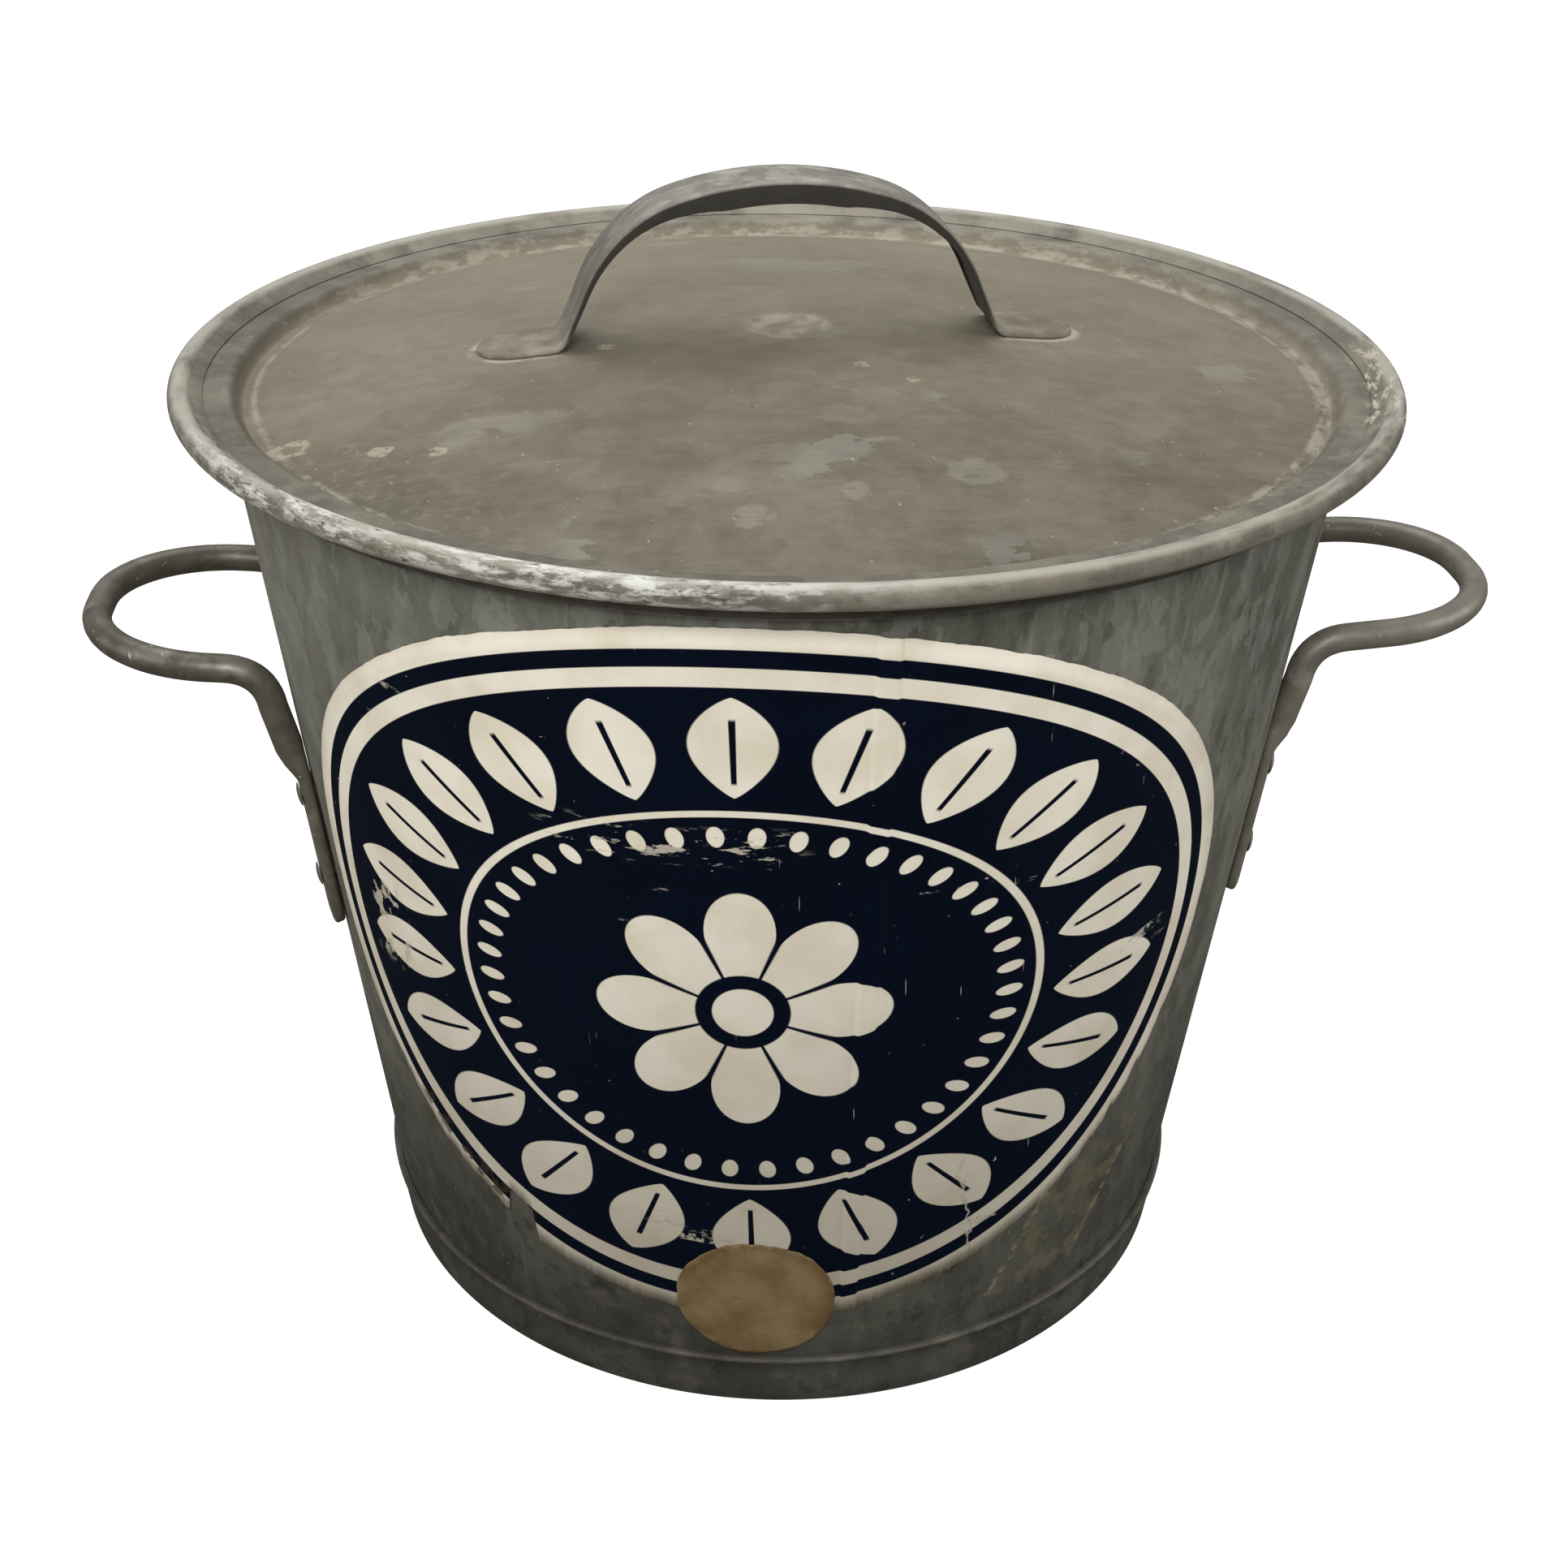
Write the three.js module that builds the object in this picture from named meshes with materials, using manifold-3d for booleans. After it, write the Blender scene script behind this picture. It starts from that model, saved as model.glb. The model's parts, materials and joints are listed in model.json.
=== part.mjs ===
// Laundry boiler of galvanised sheet: a tapered tub with a wired rim and two riveted bar
// handles, a domed lid with a strip handle, and the lift-out injector set inside it.
// Millimetres, +Z up. The origin is on the floor, on the axis of the tub. The handles lie
// on X, and the labelled front faces -Y. An azimuth is counted from the front towards +X.
import * as THREE from 'three';
import { mergeVertices } from 'three/addons/utils/BufferGeometryUtils.js';
import Module from 'manifold-3d';

const wasm = await Module();
wasm.setup();

// ---- Driving dimensions -------------------------------------------------------------

const SHEET = 1.0;             // galvanised sheet of the tub, the lid and the insert
const SEAT_GAP = 0.3;          // left between faces that touch on the real boiler
const AROUND = 60;             // facets around each large turned piece
const AROUND_PLATE = 40;       // around the false bottom, which stands clear of the wall
const AROUND_SMALL = 30;       // around the injector's tube, cone and head
const ROLL_STEPS = 6;          // facets along the curl of a rolled edge

const TUB_FOOT_R = 160.1;      // outer radius of the cone at floor level
const TUB_MOUTH_R = 201.6;     // outer radius of the cone at the centre of its rim roll
const RIM_ROLL_Z = 348.0;      // height of the centre of the rim roll
const RIM_ROLL_R = 4.8;        // outer radius of the sheet rolled round the rim wire
const RIM_ROLL_END = -125;     // degrees at which the rolled edge stops, under the wire

const SEAM_AZIMUTH = 3.7;      // degrees from the front to the lock seam of the wall
const SEAM_WIDTH = 8.0;        // width of the folded seam
const SEAM_PROUD = 1.0;        // how far the fold stands out of the wall
const SEAM_RAMP = 1.2;         // width of each sloping side of the fold
const SEAM_TOP_MARGIN = 8.0;   // the fold is dressed flat below the rim roll

const HOOP_HEIGHT = 24.0;      // foot hoop round the bottom of the wall
const HOOP_THICK = 1.5;
const HOOP_FLANGE = 10.0;      // width of the inward foot that the boiler stands on
const HOOP_LIP_PROUD = 0.8;    // small bead along the upper edge of the hoop
const HOOP_LIP_HEIGHT = 2.0;

const BOTTOM_Z = 16.0;         // underside of the tub's bottom
const BOTTOM_SKIRT = 9.0;      // down-turned edge of the bottom, soldered into the wall
const BOTTOM_CORNER_R = 3.0;
const BOTTOM_DISH_R = 118.0;   // raised middle that stiffens the bottom
const BOTTOM_DISH_RISE = 2.0;

const HANDLE_BAR_R = 5.3;      // round bar of the side handles
const HANDLE_Z = 258.5;        // height of the loops where they leave the wall
const HANDLE_PROJECTION = 72.0; // wall to the centre line of a loop's tip
const HANDLE_TILT = 4.6;       // degrees by which the loops rise outwards
const HANDLE_HALF_SPAN = 50.5; // half the distance between the two arms of a loop
const HANDLE_CORNER_R = 46.0;  // centre line of the loop's corners
const HANDLE_BEND_RUN = 15.0;  // length taken up by the bend from leg to arm
const HANDLE_STAND_OFF = 7.5;  // wall to the centre line at the top of a leg
const LEG_BOTTOM_Z = 150.0;    // lower end of the flattened leg
const LEG_FLAT_TOP_Z = 216.0;  // the leg is hammered flat below this height
const LEG_ROUND_Z = 229.0;     // and still a round bar above this one
const LEG_THICK = 5.0;
const LEG_WIDTH = 15.0;

const RIVET_HEIGHTS = [172.0, 207.0];
const RIVET_SHANK_R = 2.4;
const RIVET_HEAD_R = 4.6;
const RIVET_HEAD_HEIGHT = 1.2;
const RIVET_TAIL_R = 4.0;
const RIVET_TAIL_HEIGHT = 1.4;

const LID_OVERHANG = 18.4;     // edge of the lid beyond the mouth of the tub
const LID_ROLL_R = 4.2;        // outer radius of the rolled edge of the lid
const LID_ROLL_Z = 354.6;      // height of the centre of that roll, the lid being on
const LID_ROLL_START = -115;   // degrees: the sheet comes in under the wire
const LID_ROLL_END = 198;      // and the curl closes down on the ring
const LID_ROLL_STEPS = 8;      // facets along that curl
const LID_FIT_CLEARANCE = 1.2; // locating step of the lid to the inside of the tub
const LID_STEP_RUN = 3.4;      // horizontal run of that step
const LID_STEP_R = 1.6;        // radius of the step's two bends
const PANEL_EDGE_Z = 348.0;    // top of the panel at the foot of the step
const PANEL_DOME_RISE = 19.0;  // the panel is domed by this much
const DIMPLE_R = 16.0;         // plain round dimple in the middle of the panel
const DIMPLE_DEPTH = 1.0;
const DIMPLE_RAMP = 2.5;

const GRIP_TURN = 3.4;         // degrees: the lid is not set quite square to the handles
const GRIP_HALF_WIDTH = 14.0;  // strip of the lid's handle
const GRIP_SHEET = 1.3;
const GRIP_CROWN_Z = 419.2;    // top of the arch
const GRIP_CROWN_ARC_R = 120.0;
const GRIP_CROWN_ANGLE = 17.5; // degrees of slope where the flat crown ends
const GRIP_SHOULDER_ARC_R = 52.0;
const GRIP_LEG_ANGLE = 66.8;   // degrees of slope of the straight legs
const GRIP_FOOT_BEND_R = 5.0;
const GRIP_TAB_LENGTH = 25.0;  // flat tab beyond the foot bend
const GRIP_FLANGE = 7.3;       // depth of the down-turned edges at the crown
const GRIP_FLANGE_FOOT = 1.7;  // and at the foot of each leg
const GRIP_FLAT_ARC = 22.0;    // the edges keep their full depth up to here
const GRIP_CROWN_STEPS = 3;
const GRIP_SHOULDER_STEPS = 5;
const GRIP_BEND_STEPS = 3;

const PLATE_Z = 78.0;          // underside of the perforated false bottom
const PLATE_CLEARANCE = 5.0;   // edge of the plate to the wall
const PLATE_SKIRT = 8.0;
const PLATE_CORNER_R = 2.5;
const PLATE_MOUTH_R = 58.0;    // opening of the plate under the injector cone
const PLATE_HOLE_R = 3.6;
const PLATE_HOLE_COUNTS = [24, 18, 12];  // in rings, from the outermost inwards
const PLATE_HOLE_MARGIN = 20.0; // edge of the plate to its outermost ring of holes
const PLATE_RING_STEP = 25.0;  // from one ring of holes to the next
const PLATE_HOLE_SIDES = 6;
const FOOT_COUNT = 3;
const FOOT_INSET = 34.0;       // edge of the plate to the upright of each foot
const FOOT_WIDTH = 20.0;
const FOOT_TAB = 14.0;
const FOOT_THICK = 2.0;

const TUBE_R = 21.0;           // injector tube
const TUBE_TOP_Z = 322.0;
const TUBE_BEAD_PROUD = 1.6;   // bead on the tube that the spray head rests on
const TUBE_BEAD_HEIGHT = 4.0;
const CONE_FOOT_R = 68.0;      // foot of the injector cone
const CONE_FLANGE = 7.0;       // flat brim that lies on the plate
const CONE_HEIGHT = 40.0;
const CONE_NECK = 14.0;        // neck that holds the tube

const HEAD_R = 58.0;           // spray head on top of the tube
const HEAD_TOP_Z = 352.0;
const HEAD_SHOULDER_Z = 339.0;
const HEAD_RIM_Z = 330.0;
const HEAD_SOCKET = 24.0;      // length of the socket over the tube
const HEAD_THROAT_RISE = 3.0;  // floor of the head above the mouth of the tube
const HEAD_HOLE_R = 3.2;
const HEAD_HOLES = 10;
const HEAD_HOLE_SIDES = 6;

const LABEL_AZIMUTH = -6.8;    // degrees: middle of the paper label
const LABEL_Z = 193.5;
const LABEL_HALF_WIDTH = 188.0;
const LABEL_HALF_HEIGHT = 147.0;
const LABEL_TILT = 2.7;        // degrees: it is pasted on with its right end low
const PAPER = 0.3;
const STICKER_AZIMUTH = -7.9;  // small round sticker over the label's lower edge
const STICKER_Z = 54.7;
const STICKER_R = 29.0;

// ---- Finishes -----------------------------------------------------------------------

const finish = (color, roughness, metalness) =>
  new THREE.MeshStandardMaterial({ color, roughness, metalness });
const galvanised = finish(0x6b6a62, 0.55, 0.7);
const lidZinc = finish(0x7d786b, 0.6, 0.6);
const barSteel = finish(0x55514a, 0.5, 0.8);
const wireSteel = finish(0x4a4845, 0.5, 0.8);
const innerZinc = finish(0x7a7c78, 0.5, 0.7);
const navyPaper = finish(0x0d1730, 0.75, 0);
const creamPaper = finish(0xb59b6e, 0.85, 0);

// ---- Profiles and solids ------------------------------------------------------------

const rad = THREE.MathUtils.degToRad;
const v2 = (r, z) => new THREE.Vector2(r, z);
const TAU = 2 * Math.PI;

// Share of a turned piece's radius that its flat facets keep at an azimuth.
function facet(azimuth) {
  const half = Math.PI / AROUND;
  const fromMiddle = azimuth - 2 * half * Math.floor(azimuth / (2 * half)) - half;
  return Math.cos(half) / Math.cos(fromMiddle);
}

// Point at an azimuth, a radius and a height.
const polar = (azimuth, r, z) => new THREE.Vector3(r * Math.sin(azimuth), -r * Math.cos(azimuth), z);

// Points of an arc about (r, z), angles in radians, both ends included.
function arc(r, z, radius, from, to, steps) {
  return Array.from({ length: steps + 1 }, (_, i) => {
    const a = from + (to - from) * i / steps;
    return v2(r + radius * Math.cos(a), z + radius * Math.sin(a));
  });
}

// Closed section of a sheet that follows a line of points, its thickness on the left.
function sheetSection(line, thickness) {
  const normal = (a, b) => v2(a.y - b.y, b.x - a.x).normalize();
  const other = line.map((p, i) => {
    const before = i > 0 ? normal(line[i - 1], p) : null;
    const after = i < line.length - 1 ? normal(p, line[i + 1]) : null;
    const mitre = (before ?? after).clone().add(after ?? before).normalize();
    return p.clone().addScaledVector(mitre, thickness / mitre.dot(after ?? before));
  });
  return [...line, ...other.reverse()];
}

const signedArea = (loop) => THREE.ShapeUtils.area(loop);

// Solid of revolution of a section, which is a loop or starts and ends on the axis.
function revolve(section, segments = AROUND) {
  const loop = signedArea(section) < 0 ? [...section].reverse() : [...section];
  const onAxis = loop.findIndex((p, i) => p.x < 1e-6 && loop[(i + loop.length - 1) % loop.length].x < 1e-6);
  const profile = onAxis >= 0
    ? [...loop.slice(onAxis), ...loop.slice(0, onAxis)]
    : [...loop, loop[0].clone()];
  return new THREE.LatheGeometry(profile, segments).rotateX(Math.PI / 2);
}

// Closed surface from rings of points: each ring is joined to the next, and the ends are
// joined to each other or closed by flat caps.
function skin(rings, joinEnds) {
  const n = rings[0].length;
  const m = rings.length;
  const positions = rings.flat().flatMap((p) => [p.x, p.y, p.z]);
  const index = [];
  for (let i = 0; i < (joinEnds ? m : m - 1); i++) {
    for (let j = 0; j < n; j++) {
      const a = i * n + j;
      const b = ((i + 1) % m) * n + j;
      const c = ((i + 1) % m) * n + (j + 1) % n;
      const d = i * n + (j + 1) % n;
      index.push(a, b, d, c, d, b);
    }
  }
  if (!joinEnds) {
    index.push(...capFaces(rings[0]).flat());
    index.push(...capFaces(rings[m - 1]).flatMap(([a, b, c]) => [a, c, b].map((k) => k + (m - 1) * n)));
  }
  const geometry = new THREE.BufferGeometry();
  geometry.setAttribute('position', new THREE.Float32BufferAttribute(positions, 3));
  geometry.setIndex(index);
  return outward(geometry);
}

// Triangles that close a ring, turning the way the ring does.
function capFaces(ring) {
  const normal = ring.reduce((sum, p, i) => sum.add(p.clone().cross(ring[(i + 1) % ring.length])),
    new THREE.Vector3()).normalize();
  const u = ring[1].clone().sub(ring[0]).projectOnPlane(normal).normalize();
  const v = normal.clone().cross(u);
  const flat = ring.map((p) => v2(p.dot(u), p.dot(v)));
  return THREE.ShapeUtils.triangulateShape([...flat], []).map(([a, b, c]) =>
    (signedArea([flat[a], flat[b], flat[c]]) * signedArea(flat) < 0 ? [a, c, b] : [a, b, c]));
}

// A surface whose volume comes out negative is turned inside out.
function outward(geometry) {
  const p = geometry.getAttribute('position');
  const index = geometry.getIndex().array;
  const corner = (i) => new THREE.Vector3().fromBufferAttribute(p, index[i]);
  let volume = 0;
  for (let i = 0; i < index.length; i += 3) {
    volume += corner(i).dot(corner(i + 1).cross(corner(i + 2)));
  }
  if (volume < 0) {
    for (let i = 0; i < index.length; i += 3) {
      [index[i + 1], index[i + 2]] = [index[i + 2], index[i + 1]];
    }
  }
  return geometry;
}

function solidOf(geometry) {
  const bare = geometry.clone();
  bare.deleteAttribute('normal');
  bare.deleteAttribute('uv');
  const merged = mergeVertices(bare, 1e-4);
  return new wasm.Manifold(new wasm.Mesh({
    numProp: 3,
    vertProperties: new Float32Array(merged.getAttribute('position').array),
    triVerts: new Uint32Array(merged.getIndex().array),
  }));
}

function geometryOf(solid) {
  const mesh = solid.getMesh();
  const geometry = new THREE.BufferGeometry();
  geometry.setAttribute('position', new THREE.BufferAttribute(new Float32Array(mesh.vertProperties), 3));
  geometry.setIndex(new THREE.BufferAttribute(new Uint32Array(mesh.triVerts), 1));
  return geometry;
}

function cut(geometry, tools) {
  return geometryOf(tools.reduce((solid, tool) => solid.subtract(solidOf(tool)), solidOf(geometry)));
}

// A round pin of some radius from one point to another, used as a drill.
function drill(radius, from, to, sides) {
  const along = to.clone().sub(from);
  const pin = new THREE.CylinderGeometry(radius, radius, along.length(), sides);
  const turn = new THREE.Quaternion();
  turn.setFromUnitVectors(new THREE.Vector3(0, 1, 0), along.clone().normalize());
  const middle = from.clone().add(to).multiplyScalar(0.5);
  return pin.applyMatrix4(new THREE.Matrix4().compose(middle, turn, new THREE.Vector3(1, 1, 1)));
}

const model = new THREE.Group();

function add(name, geometry, material, parent = model) {
  const mesh = new THREE.Mesh(geometry, material);
  mesh.name = name;
  parent.add(mesh);
  return mesh;
}

// ---- The tapered wall ---------------------------------------------------------------

const TAPER = (TUB_MOUTH_R - TUB_FOOT_R) / RIM_ROLL_Z;
const LEAN = Math.atan(TAPER);                     // of the wall from upright
const wallOuter = (z) => TUB_FOOT_R + TAPER * z;
const wallInner = (z) => wallOuter(z) - SHEET;

const WALL_BOTTOM_Z = HOOP_THICK + SEAT_GAP;       // the wall stands on the hoop's foot
const ROLL_START_Z = RIM_ROLL_Z + RIM_ROLL_R * Math.sin(LEAN);
const RIM_ROLL_CENTRE = v2(wallInner(ROLL_START_Z) + RIM_ROLL_R * Math.cos(LEAN), RIM_ROLL_Z);
const RIM_TOP_Z = RIM_ROLL_Z + RIM_ROLL_R;

const SEAM_BOTTOM_Z = HOOP_HEIGHT + SEAT_GAP;
const SEAM_TOP_Z = RIM_ROLL_Z - RIM_ROLL_R - SEAM_TOP_MARGIN;

// The seam keeps one angular width from end to end, true to size at half its height.
const SEAM_MIDDLE_R = wallOuter((SEAM_BOTTOM_Z + SEAM_TOP_Z) / 2);
const SEAM_EDGES = [-SEAM_WIDTH / 2, SEAM_RAMP - SEAM_WIDTH / 2, SEAM_WIDTH / 2 - SEAM_RAMP, SEAM_WIDTH / 2]
  .map((aside) => rad(SEAM_AZIMUTH) + aside / SEAM_MIDDLE_R);

// How far the folded seam stands off the wall at an azimuth.
function seamFold(azimuth) {
  const turn = azimuth - rad(SEAM_AZIMUTH);
  const aside = Math.abs(Math.atan2(Math.sin(turn), Math.cos(turn))) * SEAM_MIDDLE_R;
  return SEAM_PROUD * THREE.MathUtils.clamp((SEAM_WIDTH / 2 - aside) / SEAM_RAMP, 0, 1);
}

function tubWall() {
  const { x: rollR, y: rollZ } = RIM_ROLL_CENTRE;
  const rolled = arc(rollR, rollZ, RIM_ROLL_R, Math.PI - LEAN, rad(RIM_ROLL_END), ROLL_STEPS);
  const insideRoll = arc(rollR, rollZ, RIM_ROLL_R - SHEET, rad(RIM_ROLL_END), Math.PI - LEAN, ROLL_STEPS);
  const outside = [
    { p: v2(wallOuter(SEAM_TOP_Z + SEAM_RAMP), SEAM_TOP_Z + SEAM_RAMP), fold: 0 },
    { p: v2(wallOuter(SEAM_TOP_Z), SEAM_TOP_Z), fold: 1 },
    { p: v2(wallOuter(SEAM_BOTTOM_Z + SEAM_RAMP), SEAM_BOTTOM_Z + SEAM_RAMP), fold: 1 },
    { p: v2(wallOuter(SEAM_BOTTOM_Z), SEAM_BOTTOM_Z), fold: 0 },
    { p: v2(wallOuter(WALL_BOTTOM_Z), WALL_BOTTOM_Z), fold: 0 },
  ];
  const plain = [v2(wallInner(WALL_BOTTOM_Z), WALL_BOTTOM_Z), ...rolled, ...insideRoll];
  const section = [...plain.map((p) => ({ p, fold: 0 })), ...outside];
  const even = Array.from({ length: AROUND }, (_, i) => TAU * i / AROUND);
  const azimuths = [...even, ...SEAM_EDGES].sort((a, b) => a - b);
  const rings = azimuths.map((azimuth) => section.map(({ p, fold }) =>
    polar(azimuth, p.x * facet(azimuth) + fold * seamFold(azimuth), p.y)));
  return skin(rings, true);
}

// ---- Side handles and their rivets --------------------------------------------------

// The leg runs down a line of the cone at the azimuth where the arm meets it.
const LEG_TOP_R = wallOuter(HANDLE_Z) + HANDLE_STAND_OFF;
const LEG_SWING = Math.asin(HANDLE_HALF_SPAN / LEG_TOP_R);

// Outward normal of the wall and its upward line, at an angle from +X towards +Y.
const wallNormal = (swing) => new THREE.Vector3(
  Math.cos(LEAN) * Math.cos(swing), Math.cos(LEAN) * Math.sin(swing), -Math.sin(LEAN));
const wallUp = (swing) => new THREE.Vector3(
  Math.sin(LEAN) * Math.cos(swing), Math.sin(LEAN) * Math.sin(swing), Math.cos(LEAN));

// Point that stands off the wall, along its normal, from the wall's height z.
function offWall(swing, z, off) {
  const r = wallOuter(z) * facet(Math.PI / 2 + swing);
  const onWall = new THREE.Vector3(r * Math.cos(swing), r * Math.sin(swing), z);
  return onWall.addScaledVector(wallNormal(swing), off);
}

const LEG_OFF = SEAT_GAP + LEG_THICK / 2;
const BAR_SIDES = 10;
const BEND_STEPS = 4;
const CORNER_STEPS = 5;

// Half of a handle on the right, from the lower end of the leg to the middle of the tip:
// centre, tangent, direction out of the flat side, half thickness and half width.
function handleHalf() {
  const tilt = rad(HANDLE_TILT);
  const down = new THREE.Vector3(Math.sin(tilt), 0, -Math.cos(tilt));
  const out = new THREE.Vector3(Math.cos(tilt), 0, Math.sin(tilt));
  const normal = wallNormal(LEG_SWING);
  const up = wallUp(LEG_SWING);
  const flat = LEG_THICK / 2;
  const wide = LEG_WIDTH / 2;
  const round = HANDLE_BAR_R;
  const leg = (z, off, thick, width) =>
    ({ at: offWall(LEG_SWING, z, off), along: up, side: normal, thick, width });
  const legMiddle = (LEG_ROUND_Z + LEG_FLAT_TOP_Z) / 2;
  const stations = [
    leg(LEG_BOTTOM_Z, LEG_OFF, 0.75 * flat, 0.45 * wide),
    leg(LEG_BOTTOM_Z + 2, LEG_OFF, flat, 0.8 * wide),
    leg(LEG_BOTTOM_Z + 6, LEG_OFF, flat, wide),
    leg(LEG_FLAT_TOP_Z, LEG_OFF, flat, 0.95 * wide),
    leg(legMiddle, (LEG_OFF + SEAT_GAP + round) / 2, (flat + round) / 2, 0.8 * wide),
    leg(LEG_ROUND_Z, SEAT_GAP + round, round, round),
  ];
  const corner = new THREE.Vector3(LEG_TOP_R * Math.cos(LEG_SWING), HANDLE_HALF_SPAN, HANDLE_Z);
  const bend = new THREE.QuadraticBezierCurve3(
    corner.clone().addScaledVector(up, -HANDLE_BEND_RUN), corner,
    corner.clone().addScaledVector(out, HANDLE_BEND_RUN));
  for (let i = 0; i <= BEND_STEPS; i++) {
    const t = i / BEND_STEPS;
    const side = normal.clone().lerp(down, t);
    stations.push({ at: bend.getPoint(t), along: bend.getTangent(t), side, thick: round, width: round });
  }
  const reach = wallOuter(HANDLE_Z) + HANDLE_PROJECTION;
  const run = (reach - corner.x) / Math.cos(tilt) - HANDLE_CORNER_R;
  for (let i = 0; i <= CORNER_STEPS; i++) {
    const turn = Math.PI / 2 * (1 - i / CORNER_STEPS);
    const at = corner.clone().addScaledVector(out, run + HANDLE_CORNER_R * Math.cos(turn));
    at.y -= HANDLE_CORNER_R * (1 - Math.sin(turn));
    const along = out.clone().multiplyScalar(Math.sin(turn));
    along.y = -Math.cos(turn);
    stations.push({ at, along, side: down, thick: round, width: round });
  }
  return stations;
}

// Ring of points round a station: round where the bar is round, flatter where it is flat.
function barRing({ at, along, side, thick, width }) {
  const out = side.clone().addScaledVector(along, -side.dot(along) / along.lengthSq()).normalize();
  const across = along.clone().normalize().cross(out);
  const square = width > thick ? 0.55 : 1;         // a hammered bar has squarer edges
  return Array.from({ length: BAR_SIDES }, (_, i) => {
    const a = TAU * (i + 0.5) / BAR_SIDES;
    const c = Math.sign(Math.cos(a)) * Math.abs(Math.cos(a)) ** square;
    const s = Math.sign(Math.sin(a)) * Math.abs(Math.sin(a)) ** square;
    return at.clone().addScaledVector(out, thick * c).addScaledVector(across, width * s);
  });
}

const mirrorY = (p) => new THREE.Vector3(p.x, -p.y, p.z);
const turnAbout = (p) => new THREE.Vector3(-p.x, -p.y, p.z);

const LEG_SWINGS = [LEG_SWING, -LEG_SWING];
const RIVET_SIDES = 8;
const RIVET_HOLE_R = RIVET_SHANK_R / Math.cos(Math.PI / RIVET_SIDES) + SEAT_GAP;

// Drills for the rivets of the right side: through the legs, or through legs and wall.
const rivetDrills = (turned) => LEG_SWINGS.flatMap((swing) => RIVET_HEIGHTS.map((z) => {
  const ends = [-3 * SHEET, LEG_THICK + 2 * SHEET].map((off) => offWall(swing, z, off));
  return drill(RIVET_HOLE_R, ...(turned ? ends.map(turnAbout) : ends), RIVET_SIDES);
}));

function sideHandle() {
  const rings = handleHalf().map(barRing);
  const otherHalf = rings.map((ring) => ring.map(mirrorY)).reverse();
  return cut(skin([...rings, ...otherHalf], false), rivetDrills(false));
}

// Rivet along +Z, with the wall's outer face at 0: formed tail inside, round head outside.
function rivet() {
  const tail = -SHEET - SEAT_GAP;
  const seat = LEG_THICK + 2 * SEAT_GAP;
  return revolve([
    v2(0, tail - RIVET_TAIL_HEIGHT),
    v2(0.7 * RIVET_TAIL_R, tail - RIVET_TAIL_HEIGHT),
    v2(RIVET_TAIL_R, tail),
    v2(RIVET_SHANK_R, tail),
    v2(RIVET_SHANK_R, seat),
    v2(RIVET_HEAD_R, seat),
    v2(0.75 * RIVET_HEAD_R, seat + 0.7 * RIVET_HEAD_HEIGHT),
    v2(0, seat + RIVET_HEAD_HEIGHT),
  ], RIVET_SIDES);
}

function addRivet(name, swing, z) {
  const mesh = add(name, rivet(), barSteel);
  mesh.position.copy(offWall(swing, z, 0));
  mesh.quaternion.setFromUnitVectors(new THREE.Vector3(0, 0, 1), wallNormal(swing));
}

// ---- Tub ----------------------------------------------------------------------------

add('tub_wall', cut(tubWall(), [...rivetDrills(false), ...rivetDrills(true)]), galvanised);

// Wire that lies inside a rolled edge, clear of the flats of the curl.
function wireIn(centre, rollR, sweep, steps) {
  const radius = rollR * Math.cos(sweep / 2 / steps) - SHEET - SEAT_GAP;
  return revolve(arc(centre.x, centre.y, radius, 0, TAU * 5 / 6, 5));
}

const rimSweep = Math.PI - LEAN - rad(RIM_ROLL_END);
add('rim_wire', wireIn(RIM_ROLL_CENTRE, RIM_ROLL_R, rimSweep, ROLL_STEPS), wireSteel);

const hoopInner = (z) => wallOuter(z) + SEAT_GAP;
const hoopOuter = (z) => hoopInner(z) + HOOP_THICK;
const LIP_Z = HOOP_HEIGHT - HOOP_LIP_HEIGHT;
add('foot_hoop', revolve([
  v2(hoopOuter(0) - HOOP_FLANGE, 0),
  v2(hoopOuter(0), 0),
  v2(hoopOuter(LIP_Z), LIP_Z),
  v2(hoopOuter(HOOP_HEIGHT) + HOOP_LIP_PROUD, HOOP_HEIGHT - HOOP_LIP_HEIGHT / 2),
  v2(hoopInner(HOOP_HEIGHT), HOOP_HEIGHT),
  v2(hoopInner(HOOP_THICK), HOOP_THICK),
  v2(hoopOuter(0) - HOOP_FLANGE, HOOP_THICK),
]), galvanised);

// The bottom is a shallow pan turned over: its skirt is soldered into the wall.
const BOTTOM_TOP_Z = BOTTOM_Z + SHEET;
const bottomEdge = (z) => wallInner(z) - SEAT_GAP;
const BOTTOM_RAMP = 4.0;
add('tub_bottom', revolve(sheetSection([
  v2(0, BOTTOM_Z + BOTTOM_DISH_RISE),
  v2(BOTTOM_DISH_R, BOTTOM_Z + BOTTOM_DISH_RISE),
  v2(BOTTOM_DISH_R + BOTTOM_RAMP, BOTTOM_Z),
  v2(bottomEdge(BOTTOM_Z) - BOTTOM_CORNER_R, BOTTOM_Z),
  v2(bottomEdge(BOTTOM_Z - BOTTOM_CORNER_R) - SHEET, BOTTOM_Z - BOTTOM_CORNER_R + SHEET),
  v2(bottomEdge(BOTTOM_Z - BOTTOM_SKIRT) - SHEET, BOTTOM_Z - BOTTOM_SKIRT),
], SHEET)), innerZinc);

for (const [side, turn] of [['right', 0], ['left', Math.PI]]) {
  add(`side_handle_${side}`, sideHandle().rotateZ(turn), barSteel);
  LEG_SWINGS.forEach((swing, leg) => RIVET_HEIGHTS.forEach((z, row) => {
    const place = `${(leg === 0) === (side === 'right') ? 'rear' : 'front'}_${row === 0 ? 'lower' : 'upper'}`;
    addRivet(`rivet_${side}_${place}`, swing + turn, z);
  }));
}

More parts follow.
